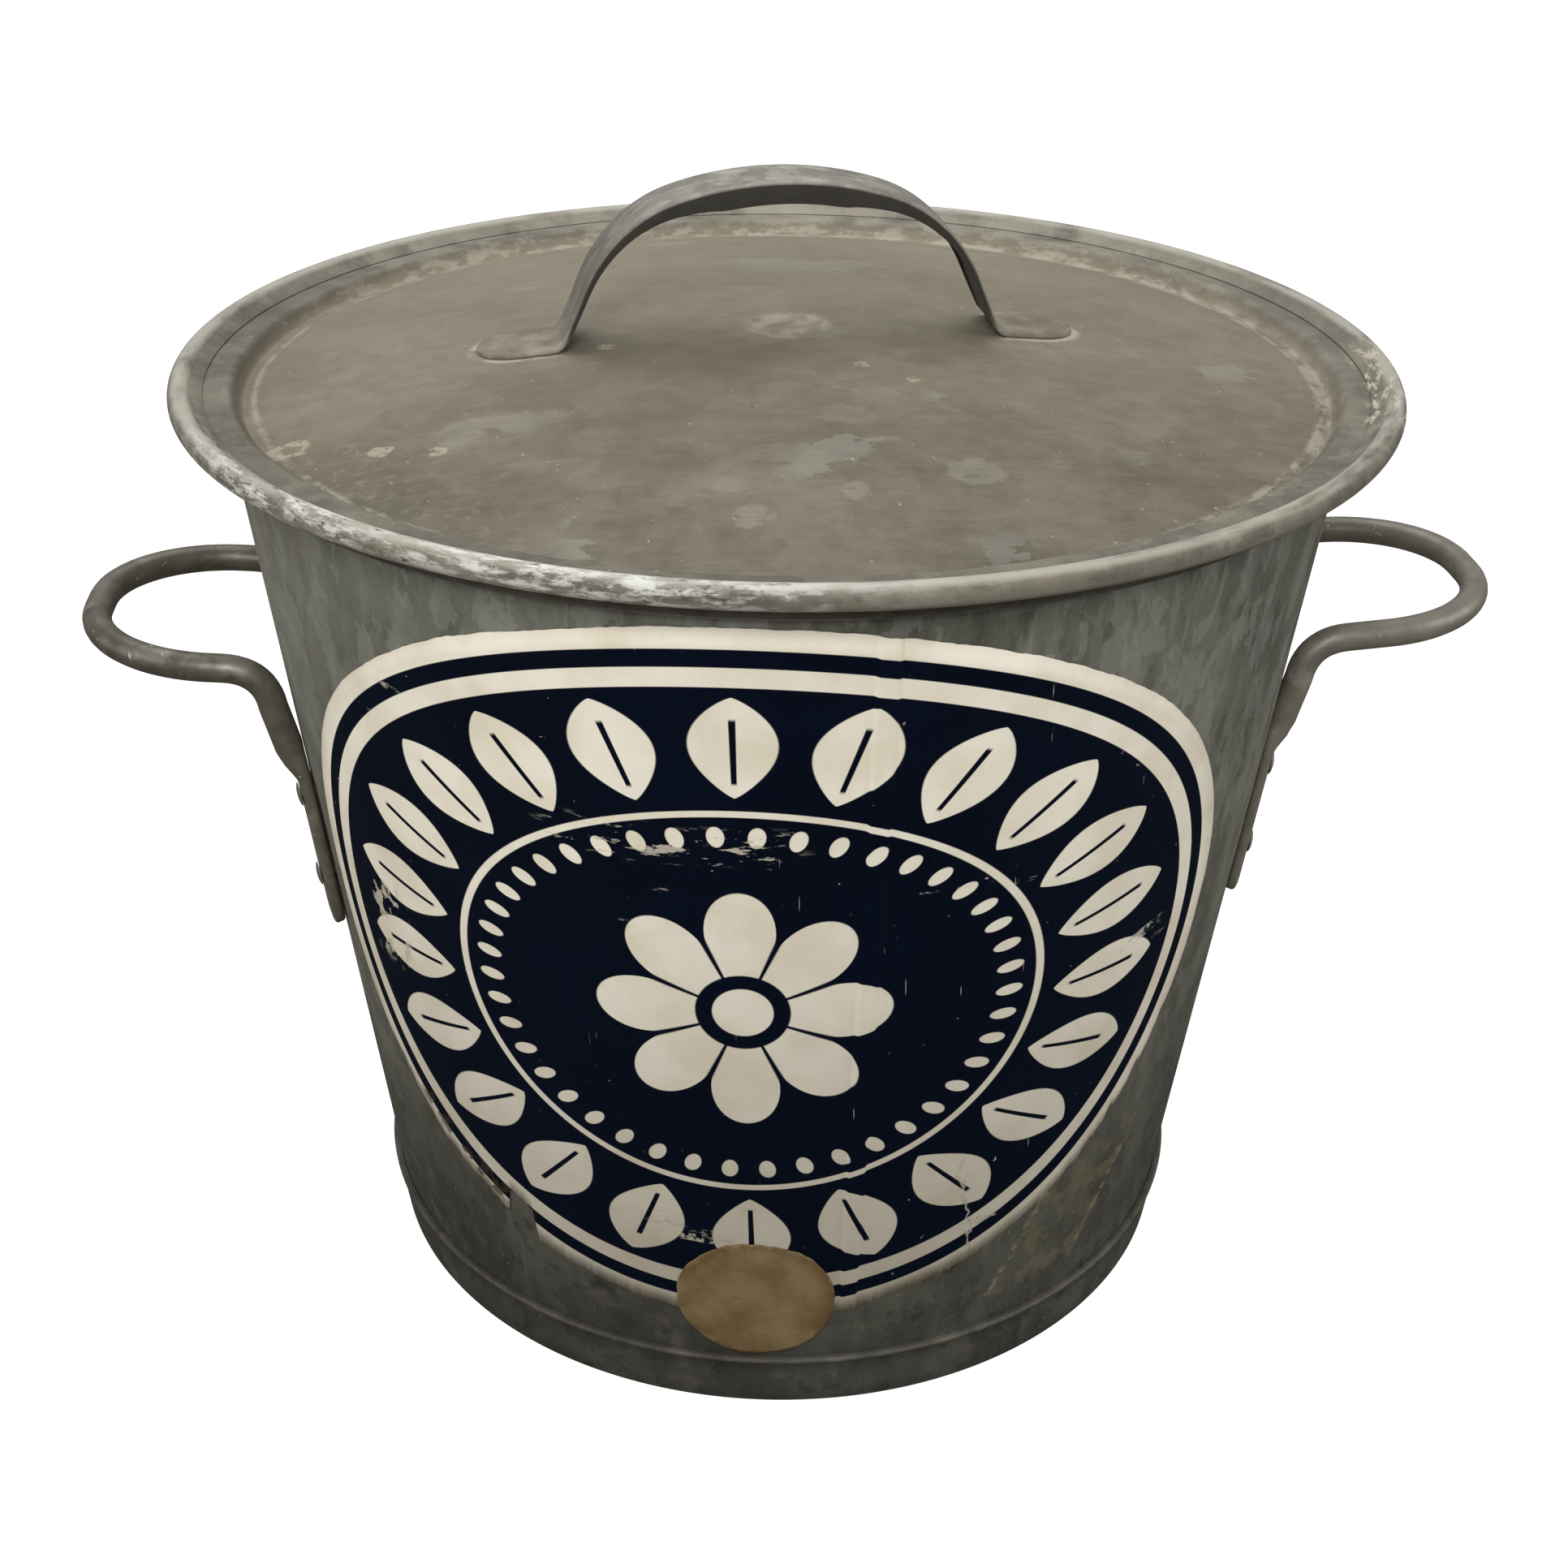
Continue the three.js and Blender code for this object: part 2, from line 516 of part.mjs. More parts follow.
// ---- Lid ----------------------------------------------------------------------------

const LID_ROLL_CENTRE = v2(TUB_MOUTH_R + LID_OVERHANG - LID_ROLL_R, LID_ROLL_Z);
const STEP_TOP_R = wallInner(RIM_ROLL_Z) - LID_FIT_CLEARANCE - SHEET;   // top face of the step
const STEP_FOOT_R = STEP_TOP_R - LID_STEP_RUN;
const RING_Z = RIM_TOP_Z + SEAT_GAP;                                    // underside over the rim roll
const panelTop = (r) => PANEL_EDGE_Z + PANEL_DOME_RISE * (1 - (r / STEP_FOOT_R) ** 2);

// Underside of the lid from its middle to the rolled edge; the sheet lies above it.
function lidUnderside() {
  const under = (r, sink = 0) => v2(r, panelTop(r) - sink - SHEET);
  const slope = Math.atan2(RING_Z - PANEL_EDGE_Z, LID_STEP_RUN);
  const { x: rollR, y: rollZ } = LID_ROLL_CENTRE;
  return [
    under(0, DIMPLE_DEPTH),
    under(DIMPLE_R - DIMPLE_RAMP, DIMPLE_DEPTH),
    under(DIMPLE_R),
    under(0.4 * STEP_FOOT_R),
    under(0.75 * STEP_FOOT_R),
    under(STEP_FOOT_R - LID_STEP_R),
    v2(STEP_FOOT_R + SHEET, PANEL_EDGE_Z - SHEET * Math.cos(slope)),
    v2(STEP_TOP_R + SHEET, RING_Z - LID_STEP_R),
    v2(STEP_TOP_R + SHEET + LID_STEP_R, RING_Z + SEAT_GAP),
    v2(RIM_ROLL_CENTRE.x + RIM_ROLL_R / 2, RING_Z),
    ...arc(rollR, rollZ, LID_ROLL_R, rad(LID_ROLL_START), rad(LID_ROLL_END), LID_ROLL_STEPS),
  ];
}

const lid = new THREE.Group();
lid.rotation.z = rad(GRIP_TURN);
model.add(lid);

const lidSection = sheetSection(lidUnderside(), SHEET);
add('lid', revolve(lidSection).rotateZ(-rad(GRIP_TURN)), lidZinc, lid);
const lidSweep = rad(LID_ROLL_END - LID_ROLL_START);
const lidWire = wireIn(LID_ROLL_CENTRE, LID_ROLL_R, lidSweep, LID_ROLL_STEPS);
add('lid_rim_wire', lidWire.rotateZ(-rad(GRIP_TURN)), wireSteel, lid);

// Top line of the strip for one half, from the crown out to the end of the tab. Each
// station is its distance out, its height and its slope, downwards being positive.
function gripLine() {
  const line = [];
  const onArc = (s, z, radius, slope) =>
    line.push({ s: s + radius * Math.sin(slope), z: z + radius * Math.cos(slope), slope });
  const crownEnd = rad(GRIP_CROWN_ANGLE);
  for (let i = 0; i <= GRIP_CROWN_STEPS; i++) {
    onArc(0, GRIP_CROWN_Z - GRIP_CROWN_ARC_R, GRIP_CROWN_ARC_R, crownEnd * i / GRIP_CROWN_STEPS);
  }
  const legSlope = rad(GRIP_LEG_ANGLE);
  const radii = GRIP_CROWN_ARC_R - GRIP_SHOULDER_ARC_R;
  const shoulderZ = GRIP_CROWN_Z - GRIP_CROWN_ARC_R + radii * Math.cos(crownEnd);
  const shoulder = v2(radii * Math.sin(crownEnd), shoulderZ);
  for (let i = 1; i <= GRIP_SHOULDER_STEPS; i++) {
    const slope = crownEnd + (legSlope - crownEnd) * i / GRIP_SHOULDER_STEPS;
    onArc(shoulder.x, shoulder.y, GRIP_SHOULDER_ARC_R, slope);
  }
  // The straight leg goes on down until its foot bend lays the tab on the panel.
  const legTop = line[line.length - 1];
  const tabTop = (s) => panelTop(s) + SEAT_GAP + GRIP_SHEET;
  const bendDrop = GRIP_FOOT_BEND_R * (1 - Math.cos(legSlope));
  const bendRun = GRIP_FOOT_BEND_R * Math.sin(legSlope);
  let run = 0;
  for (let pass = 0; pass < 20; pass++) {
    run = (legTop.z - bendDrop - tabTop(legTop.s + run + bendRun)) / Math.tan(legSlope);
  }
  const foot = { s: legTop.s + run, z: legTop.z - run * Math.tan(legSlope) };
  line.push({ ...foot, slope: legSlope });
  const tabStart = foot.s + bendRun;
  for (let i = 1; i <= GRIP_BEND_STEPS; i++) {
    const slope = legSlope * (1 - i / GRIP_BEND_STEPS);
    onArc(tabStart, foot.z - bendDrop + GRIP_FOOT_BEND_R, -GRIP_FOOT_BEND_R, slope);
  }
  for (const share of [0.45, 0.75, 0.92, 1]) {
    const s = tabStart + share * GRIP_TAB_LENGTH;
    line.push({ s, z: tabTop(s), slope: Math.atan2(tabTop(tabStart) - tabTop(s), s - tabStart) });
  }
  return { line, footS: foot.s, tabStart };
}

// Section of the strip at a station: flat top, edges turned down by the flange's depth.
function gripRing({ s, z, slope }, footS, tabStart, side) {
  const beyond = Math.max(0, s - (tabStart + GRIP_TAB_LENGTH - GRIP_HALF_WIDTH));
  const half = Math.max(3, Math.sqrt(Math.max(0, GRIP_HALF_WIDTH ** 2 - beyond ** 2)));
  const toFoot = THREE.MathUtils.clamp((s - GRIP_FLAT_ARC) / (footS - GRIP_FLAT_ARC), 0, 1);
  const leg = THREE.MathUtils.lerp(GRIP_FLANGE, GRIP_FLANGE_FOOT, toFoot);
  const depth = s > footS + 1e-6 ? GRIP_SHEET + 0.05 : leg;
  const inner = half - GRIP_SHEET;
  const chamfer = 0.8;
  const outline = [
    [-half, -depth], [-half, -chamfer], [chamfer - half, 0], [half - chamfer, 0], [half, -chamfer],
    [half, -depth], [inner, -depth], [inner, -GRIP_SHEET], [-inner, -GRIP_SHEET], [-inner, -depth],
  ];
  return outline.map(([across, deep]) => new THREE.Vector3(
    side * (s + deep * Math.sin(slope)), across, z + deep * Math.cos(slope)));
}

function lidHandle() {
  const { line, footS, tabStart } = gripLine();
  const ring = (side) => (station) => gripRing(station, footS, tabStart, side);
  return skin([...line.slice(1).reverse().map(ring(-1)), ...line.map(ring(1))], false);
}

add('lid_handle', lidHandle(), lidZinc, lid);

// ---- Injector set -------------------------------------------------------------------

const PLATE_TOP_Z = PLATE_Z + SHEET;
const PLATE_R = wallInner(PLATE_Z - PLATE_SKIRT) - PLATE_CLEARANCE;

function falseBottom() {
  const plate = revolve(sheetSection([
    v2(PLATE_MOUTH_R, PLATE_Z),
    v2(PLATE_R - SHEET - PLATE_CORNER_R, PLATE_Z),
    v2(PLATE_R - SHEET, PLATE_Z - PLATE_CORNER_R),
    v2(PLATE_R - SHEET, PLATE_Z - PLATE_SKIRT),
  ], SHEET), AROUND_PLATE);
  const ringR = (ring) => PLATE_R - PLATE_HOLE_MARGIN - ring * PLATE_RING_STEP;
  const holes = PLATE_HOLE_COUNTS.flatMap((count, ring) => Array.from({ length: count }, (_, i) => {
    const azimuth = TAU * (i + 0.5) / count;
    const ends = [PLATE_Z - 2 * SHEET, PLATE_TOP_Z + SHEET].map((z) => polar(azimuth, ringR(ring), z));
    return drill(PLATE_HOLE_R, ...ends, PLATE_HOLE_SIDES);
  }));
  return cut(plate, holes);
}

add('false_bottom', falseBottom(), innerZinc);

// Each foot is a strip bent to a Z: a tab under the plate, an upright and a sole.
function foot() {
  const sole = BOTTOM_TOP_Z + SEAT_GAP - PLATE_Z + SEAT_GAP;
  const strip = new THREE.Shape(sheetSection([
    v2(-FOOT_TAB, 0), v2(0, 0), v2(0, sole + FOOT_THICK), v2(FOOT_TAB, sole + FOOT_THICK),
  ], -FOOT_THICK));
  const solid = new THREE.ExtrudeGeometry(strip, { depth: FOOT_WIDTH, bevelEnabled: false });
  return solid.translate(PLATE_R - FOOT_INSET, 0, -FOOT_WIDTH / 2).rotateX(Math.PI / 2);
}

for (let i = 0; i < FOOT_COUNT; i++) {
  const mesh = add(`false_bottom_foot_${i + 1}`, foot(), innerZinc);
  mesh.position.z = PLATE_Z - SEAT_GAP;
  mesh.rotation.z = TAU * i / FOOT_COUNT + Math.PI / 2;
}

const CONE_SEAT_Z = PLATE_TOP_Z + SEAT_GAP;
const NECK_R = TUBE_R + SEAT_GAP;
const NECK_Z = CONE_SEAT_Z + CONE_HEIGHT;
add('injector_cone', revolve(sheetSection([
  v2(NECK_R, NECK_Z + CONE_NECK),
  v2(NECK_R, NECK_Z),
  v2(CONE_FOOT_R, CONE_SEAT_Z),
  v2(CONE_FOOT_R + CONE_FLANGE, CONE_SEAT_Z),
], SHEET), AROUND_SMALL), innerZinc);

const HEAD_FOOT_Z = TUBE_TOP_Z - HEAD_SOCKET;
const BEAD_TOP_Z = HEAD_FOOT_Z - SEAT_GAP;
add('injector_tube', revolve([
  v2(TUBE_R - SHEET, NECK_Z),
  v2(TUBE_R, NECK_Z),
  v2(TUBE_R, BEAD_TOP_Z - TUBE_BEAD_HEIGHT),
  v2(TUBE_R + TUBE_BEAD_PROUD, BEAD_TOP_Z - TUBE_BEAD_HEIGHT / 2),
  v2(TUBE_R + TUBE_BEAD_PROUD, BEAD_TOP_Z),
  v2(TUBE_R, BEAD_TOP_Z),
  v2(TUBE_R, TUBE_TOP_Z),
  v2(TUBE_R - SHEET, TUBE_TOP_Z),
], AROUND_SMALL), innerZinc);

function sprayHead() {
  const floorZ = TUBE_TOP_Z + HEAD_THROAT_RISE;
  const inside = [
    v2(NECK_R, HEAD_FOOT_Z),
    v2(NECK_R, floorZ),
    v2(HEAD_R - SHEET, HEAD_RIM_Z),
    v2(HEAD_R - SHEET, HEAD_SHOULDER_Z - SHEET),
    v2(0.72 * HEAD_R, (HEAD_SHOULDER_Z + 2 * HEAD_TOP_Z) / 3 - SHEET),
    v2(0.36 * HEAD_R, HEAD_TOP_Z - 0.8 * SHEET - SHEET),
    v2(0, HEAD_TOP_Z - SHEET),
  ];
  const shell = revolve(sheetSection(inside, -SHEET), AROUND_SMALL);
  const z = (HEAD_RIM_Z + HEAD_SHOULDER_Z) / 2;
  const holes = Array.from({ length: HEAD_HOLES }, (_, i) => {
    const azimuth = TAU * (i + 0.5) / HEAD_HOLES;
    return drill(HEAD_HOLE_R, polar(azimuth, HEAD_R - 4 * SHEET, z), polar(azimuth, HEAD_R + SHEET, z),
      HEAD_HOLE_SIDES);
  });
  return cut(shell, holes);
}

add('spray_head', sprayHead(), innerZinc);

// ---- Paper on the wall --------------------------------------------------------------

const END_SHARE = 0.995;       // the paper's outermost columns are this far from its middle
const COLUMN_SHARE = 0.975;    // and the next ones this far from there

// Oval of paper on the wall, in upright columns that follow the wall's facets and seam.
// It is a flat oval on the unrolled cone, where a column is a line through the cone's tip.
function paperOval(azimuth, middleZ, halfWidth, halfHeight, tilt, off) {
  const slant = wallOuter(middleZ) / Math.sin(LEAN);    // from the cone's tip to the middle
  const across = Math.sin(tilt) / halfWidth;
  const upright = Math.cos(tilt) / halfHeight;
  const spread = Math.asin(1 / (slant * Math.hypot(across, upright)));
  const [first, last] = [-spread, spread].map((turn) => Math.atan2(-across, upright) + turn)
    .map((a) => (tilt + Math.atan2(halfWidth * Math.sin(a), halfHeight * Math.cos(a))) / Math.sin(LEAN));
  const ends = (turn) => {
    const lean = turn * Math.sin(LEAN) - tilt;
    const s = Math.sin(lean) / halfWidth;
    const c = Math.cos(lean) / halfHeight;
    const a = s * s + c * c;
    const b = slant * (c * upright - s * across);
    const root = Math.sqrt(Math.max(0, b * b - a * (slant ** 2 * (across ** 2 + upright ** 2) - 1)));
    return [(b - root) / a, (b + root) / a].map((along) => (along * Math.sin(LEAN) - TUB_FOOT_R) / TAPER);
  };
  const middle = rad(azimuth);
  const inside = (a) => a - middle > first * END_SHARE && a - middle < last * END_SHARE;
  const onWall = Array.from({ length: 2 * AROUND }, (_, i) => Math.PI / AROUND * (i - AROUND));
  const tips = [first, last].flatMap((end) => [1, COLUMN_SHARE]
    .map((share) => middle + end * share * END_SHARE));
  const columns = [...[...onWall, ...SEAM_EDGES].filter(inside), ...tips]
    .sort((a, b) => a - b)
    .filter((a, i, all) => i === 0 || a - all[i - 1] > rad(0.05));
  const rings = columns.map((column) => {
    const [low, high] = ends(column - middle);
    const at = (z, above) =>
      polar(column, wallOuter(z) * facet(column) + seamFold(column) + off + above, z);
    return [at(low, 0), at(low, PAPER), at(high, PAPER), at(high, 0)];
  });
  return skin(rings, false);
}

add('front_label', paperOval(LABEL_AZIMUTH, LABEL_Z, LABEL_HALF_WIDTH, LABEL_HALF_HEIGHT,
  rad(LABEL_TILT), SEAT_GAP), navyPaper);
add('round_sticker', paperOval(STICKER_AZIMUTH, STICKER_Z, STICKER_R, STICKER_R,
  0, 2 * SEAT_GAP + PAPER), creamPaper);

export default model;
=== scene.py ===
# %% [markdown]
# # A laundry boiler of galvanised sheet
# This lesson dresses the CAD frame of an old wash boiler: a tapered tub, a domed lid, two
# bar handles and a torn paper label. The frame gives every size. Here the turned pieces
# are made again with fine round sections, and each surface gets its worn finish.

# %% Load the frame
import json
from math import asin, atan, atan2, cos, degrees, pi, radians, sin, sqrt, tan

import bmesh
import bpy
import numpy as np
from mathutils import Matrix, Vector

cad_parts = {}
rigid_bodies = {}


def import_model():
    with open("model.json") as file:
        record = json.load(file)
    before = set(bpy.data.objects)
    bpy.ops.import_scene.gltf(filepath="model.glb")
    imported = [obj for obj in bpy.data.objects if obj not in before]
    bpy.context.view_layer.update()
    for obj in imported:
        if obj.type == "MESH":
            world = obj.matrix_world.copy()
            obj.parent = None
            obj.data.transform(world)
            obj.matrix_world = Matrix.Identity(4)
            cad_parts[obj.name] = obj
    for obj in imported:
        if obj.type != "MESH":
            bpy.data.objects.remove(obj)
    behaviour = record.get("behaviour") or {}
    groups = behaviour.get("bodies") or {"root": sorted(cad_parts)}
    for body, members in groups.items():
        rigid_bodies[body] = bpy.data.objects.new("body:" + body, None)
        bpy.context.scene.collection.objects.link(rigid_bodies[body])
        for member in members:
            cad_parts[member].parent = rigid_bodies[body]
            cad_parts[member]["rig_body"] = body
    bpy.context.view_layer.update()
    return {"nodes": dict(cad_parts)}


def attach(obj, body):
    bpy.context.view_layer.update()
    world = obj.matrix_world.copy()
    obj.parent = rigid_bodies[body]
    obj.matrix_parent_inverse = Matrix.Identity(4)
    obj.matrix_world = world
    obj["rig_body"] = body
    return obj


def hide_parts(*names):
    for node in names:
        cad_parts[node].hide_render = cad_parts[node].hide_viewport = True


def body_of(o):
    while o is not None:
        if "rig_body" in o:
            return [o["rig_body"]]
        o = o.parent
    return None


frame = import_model()
scene = bpy.context.scene

# %% [markdown]
# ## The camera
# The photograph is taken from standing height, close to the boiler. The numbers come from
# a fit to the lid's rim, the wall's two outlines and the foot, so the render has the same
# perspective. The camera is turned down by 28.6 degrees and rolled by less than one.

# %% Camera
TO_RIGHT, DOWN = 5.40, 28.62  # degrees
ROLL = 0.0127  # radians

camera = bpy.data.objects.new("camera", bpy.data.cameras.new("camera"))
scene.collection.objects.link(camera)
camera.data.sensor_width = 36.0
camera.data.lens = 51.08
camera.location = (-0.0734, -0.7844, 0.6072)
heading = Matrix.Rotation(radians(-TO_RIGHT), 3, "Z")
tilt = Matrix.Rotation(radians(90 - DOWN), 3, "X")
roll = Matrix.Rotation(ROLL, 3, "Z")
camera.rotation_euler = (heading @ tilt @ roll).to_euler()
scene.camera = camera
print("camera", tuple(camera.location))

# %% [markdown]
# ## Floor and light
# The floor looks white to the camera, but it lights the tub like the darker ground of the
# photograph, so the wall fades towards its foot. In the photograph the strip on the lid
# throws its shadow 92 mm back from a height of 55 mm: the main light stands at the front,
# 31 degrees up and a little to the left. A ceiling and two sides fill the rest.

# %% Stage and lamps
WARM_WHITE = (1.0, 0.985, 0.95)
AIM = Vector((0, 0, 0.22))


def add_node(tree, kind, operation=None, **values):
    """A new shader node, with its operation and some of its inputs set."""
    node = tree.nodes.new("ShaderNode" + kind)
    if operation:
        node.operation = operation
    for name, value in values.items():
        node.inputs[name].default_value = value
    return node


def show(tree, seen, working, output):
    """Shows one shader to the camera and lets another one work on the light."""
    path, choose = add_node(tree, "LightPath"), add_node(tree, "MixShader")
    tree.links.new(path.outputs["Is Camera Ray"], choose.inputs[0])
    tree.links.new(working.outputs[0], choose.inputs[1])
    tree.links.new(seen.outputs[0], choose.inputs[2])
    tree.links.new(choose.outputs[0], output.inputs["Surface"])


scene.view_settings.view_transform = "Standard"
stage = bpy.data.materials.new("pale_floor")
stage.use_nodes = True
tree = stage.node_tree
tree.nodes.clear()
glow = add_node(tree, "Emission", Strength=0.90)
catch = add_node(tree, "BsdfDiffuse", Color=(0.35, 0.35, 0.35, 1))
pale = add_node(tree, "AddShader")
tree.links.new(glow.outputs[0], pale.inputs[0])
tree.links.new(catch.outputs[0], pale.inputs[1])
ground = add_node(tree, "BsdfDiffuse", Color=(0.16, 0.15, 0.13, 1))
show(tree, pale, ground, add_node(tree, "OutputMaterial"))

bpy.ops.mesh.primitive_plane_add(size=40)
floor = bpy.context.object
floor.name = "floor"
floor.data.materials.append(stage)

world = bpy.data.worlds.new("room")
scene.world = world
world.use_nodes = True
tree = world.node_tree
sky = tree.nodes["Background"]
sky.inputs["Color"].default_value = (*WARM_WHITE, 1)
sky.inputs["Strength"].default_value = 0.42
show(tree, add_node(tree, "Background", Strength=1.0), sky, tree.nodes["World Output"])


def lamp(name, place, size, power, colour=(1, 1, 1)):
    """A square soft lamp at a place, aimed at the middle of the boiler."""
    light = bpy.data.lights.new(name, "AREA")
    light.size, light.energy, light.color = size, power, colour
    thing = bpy.data.objects.new(name, light)
    thing.location = place
    thing.rotation_euler = (AIM - thing.location).to_track_quat("-Z", "Y").to_euler()
    scene.collection.objects.link(thing)


lamp("key_front", (-0.24, -1.30, 1.16), 0.45, 14, WARM_WHITE)
lamp("side_left", (-2.2, -0.3, 1.0), 1.4, 15, (1.0, 0.98, 0.94))
lamp("side_right", (2.2, -0.5, 1.1), 1.2, 18, (1.0, 0.99, 0.97))
lamp("ceiling", (-0.3, 1.0, 2.4), 1.8, 30)

# %% [markdown]
# ## Sheet metal as curves
# Every large piece is a sheet bent to a line and spun round the axis. These helpers round
# the corners of a line, give it a thickness and turn it. All lengths are millimetres.

# %% Helpers for turned pieces
MM = 0.001
AROUND = 256


def circle(count):
    """Azimuths spread evenly over a full turn."""
    return np.linspace(0, 2 * pi, count, endpoint=False)


def quarter(count):
    """Angles over a quarter turn."""
    return np.linspace(0, pi / 2, count)


def smooth(way, length):
    """0 to 1 along a length, starting and ending gently."""
    t = np.clip(way / length, 0, 1)
    return t * t * (3 - 2 * t)


def rounded(points, steps=8):
    """A line through (r, z, bend radius) points, with its corners rounded."""
    line = [np.array(points[0][:2], float)]
    for before, here, after in zip(points, points[1:], points[2:]):
        p = np.array(here[:2], float)
        a = np.array(before[:2], float) - p
        b = np.array(after[:2], float) - p
        reach = min(here[2], 0.45 * np.linalg.norm(a), 0.45 * np.linalg.norm(b))
        a = p + a / np.linalg.norm(a) * reach
        b = p + b / np.linalg.norm(b) * reach
        for t in np.linspace(0, 1, steps if reach > 0 else 1):
            line.append((1 - t) ** 2 * a + 2 * t * (1 - t) * p + t * t * b)
    return line + [np.array(points[-1][:2], float)]


def arc(r, z, radius, start, end, steps):
    """Points of an arc about (r, z), from one angle in degrees to another."""
    turn = np.radians(np.linspace(start, end, steps))
    return [np.array([r + radius * cos(a), z + radius * sin(a)]) for a in turn]


def sheet(line, thickness):
    """The closed section of a sheet: the line and, on its left, the other face."""
    line = np.array(line)
    steps = np.linalg.norm(np.diff(line, axis=0), axis=1)
    line = line[np.append(True, steps > 1e-4)]
    along = np.gradient(line, axis=0)
    along /= np.linalg.norm(along, axis=1)[:, None]
    left = np.stack([-along[:, 1], along[:, 0]], axis=1)
    return list(line) + list((line + thickness * left)[::-1])


def skin(name, verts, faces):
    """A smooth-shaded mesh object from vertices in millimetres."""
    mesh = bpy.data.meshes.new(name)
    mesh.from_pydata((np.array(verts) * MM).tolist(), [], faces)
    mesh.update()
    mesh.shade_smooth()
    thing = bpy.data.objects.new(name, mesh)
    scene.collection.objects.link(thing)
    return thing


def grid_faces(rows, columns, close_rows, close_columns):
    """Quads over a grid of vertices, wrapped round where a direction closes."""
    return [(i * columns + j, i * columns + (j + 1) % columns,
             (i + 1) % rows * columns + (j + 1) % columns, (i + 1) % rows * columns + j)
            for i in range(rows if close_rows else rows - 1)
            for j in range(columns if close_columns else columns - 1)]


def rod_faces(rows, columns):
    """Faces of a rod that is closed round and capped at both ends."""
    first, count = range(columns), rows * columns
    ends = [tuple(first)[::-1], tuple(range(count - columns, count))]
    return grid_faces(rows, columns, False, True) + ends


def turned(name, section, azimuths=circle(AROUND), shape=None):
    """Spins a closed section round Z. shape(azimuth, r, z) may move each radius."""
    section = np.array(section)
    r = np.maximum(section[:, 0], 0)[:, None] + 0 * azimuths
    z = section[:, 1][:, None] + 0 * azimuths
    if shape:
        r = shape(azimuths + 0 * r, r, z)
    verts = np.stack([r * np.sin(azimuths), -r * np.cos(azimuths), z], axis=-1)
    faces = grid_faces(len(section), len(azimuths), True, True)
    thing = skin(name, verts.reshape(-1, 3), faces)
    if section[:, 0].min() < 1e-6:
        close_axis(thing)
    thing.data.set_sharp_from_angle(angle=radians(50))
    return thing


def close_axis(thing):
    """Merges the vertices that meet on the axis of a turned piece."""
    work = bmesh.new()
    work.from_mesh(thing.data)
    bmesh.ops.remove_doubles(work, verts=work.verts, dist=1e-6)
    bmesh.ops.dissolve_degenerate(work, edges=work.edges, dist=1e-6)
    inner = [face for face in work.faces
             if all(abs(v.co.x) + abs(v.co.y) < 1e-6 for v in face.verts)]
    bmesh.ops.delete(work, geom=inner, context="FACES")
    work.to_mesh(thing.data)
    work.free()


def stand_for(thing, node):
    """Puts a piece in the place of a CAD node, on the node's own body."""
    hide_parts(node)
    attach(thing, body_of(frame["nodes"][node])[0])
    return thing


print("helpers ready for sections of", AROUND, "steps")

# %% [markdown]
# ## The tub
# The wall is a cone of 1 mm sheet whose upper edge is rolled round a wire. It is closed by
# a folded lock seam, which shows as a narrow ridge a little right of the middle.

# %% Wall of the tub
FOOT_R = 160.1
MOUTH_R = 201.6
RIM_Z = 348.0
ROLL_R = 4.8
CURL_END = -125
WALL_FOOT = 1.8
SHEET = 1.0
GAP = 0.3
TAPER = (MOUTH_R - FOOT_R) / RIM_Z
LEAN = atan(TAPER)
SEAM = radians(3.7)
SEAM_WIDTH = 8.0
SEAM_TOP = 335.2
SEAM_BOTTOM = 24.3
SEAM_R = FOOT_R + TAPER * (SEAM_TOP + SEAM_BOTTOM) / 2


def wall(z):
    """Outer radius of the wall at a height."""
    return FOOT_R + TAPER * z


def seam_fold(azimuth):
    """How far the folded seam stands off the wall at an azimuth."""
    aside = np.abs(np.angle(np.exp(1j * (azimuth - SEAM)))) * SEAM_R
    return smooth(SEAM_WIDTH / 2 - aside, 1.6)


def folded_wall(azimuth, r, z):
    """Raises the outer face of the wall over the seam."""
    outer = np.abs(r - wall(z)) < 0.05
    along = np.clip((z - SEAM_BOTTOM) / 3, 0, 1) * np.clip((SEAM_TOP - z) / 4, 0, 1)
    return r + np.where(outer, along * seam_fold(azimuth), 0)


seam_azimuths = SEAM + np.linspace(-5.2, 5.2, 21) / SEAM_R
wall_azimuths = np.sort(np.concatenate([circle(AROUND), seam_azimuths]))
roll_z = RIM_Z + ROLL_R * sin(LEAN)
roll_r = wall(roll_z) - SHEET + ROLL_R * cos(LEAN)
curl_start = 180 - degrees(LEAN)
inside = [(wall(z) - SHEET, z) for z in (WALL_FOOT, 60, 120, 180, 240, 300, 330)]
curl = arc(roll_r, RIM_Z, ROLL_R, curl_start, CURL_END, 22)
curl += arc(roll_r, RIM_Z, ROLL_R - SHEET, CURL_END, curl_start, 18)
heights = (SEAM_TOP + 2, SEAM_TOP, SEAM_TOP - 4, 300, 250, 200, 150, 100, 60,
           SEAM_BOTTOM + 3, SEAM_BOTTOM, 12, WALL_FOOT)
outside = [(wall(z), z) for z in heights]
tub_wall = turned("tub_wall_skin", inside + curl + outside, wall_azimuths, folded_wall)
stand_for(tub_wall, "tub_wall")
print("wall", len(tub_wall.data.vertices), "vertices")

# %% [markdown]
# The foot hoop is a band shrunk over the bottom of the wall. Its upper edge is turned to a
# small bead, which catches the light as a pale line, and its lower edge is the foot.

# %% Foot hoop and bottom
HOOP_TOP = 24.0
HOOP = 1.5
LEDGE = 10
BEAD = 1.3


def hoop_in(z):
    """Inner radius of the hoop at a height."""
    return wall(z) + GAP


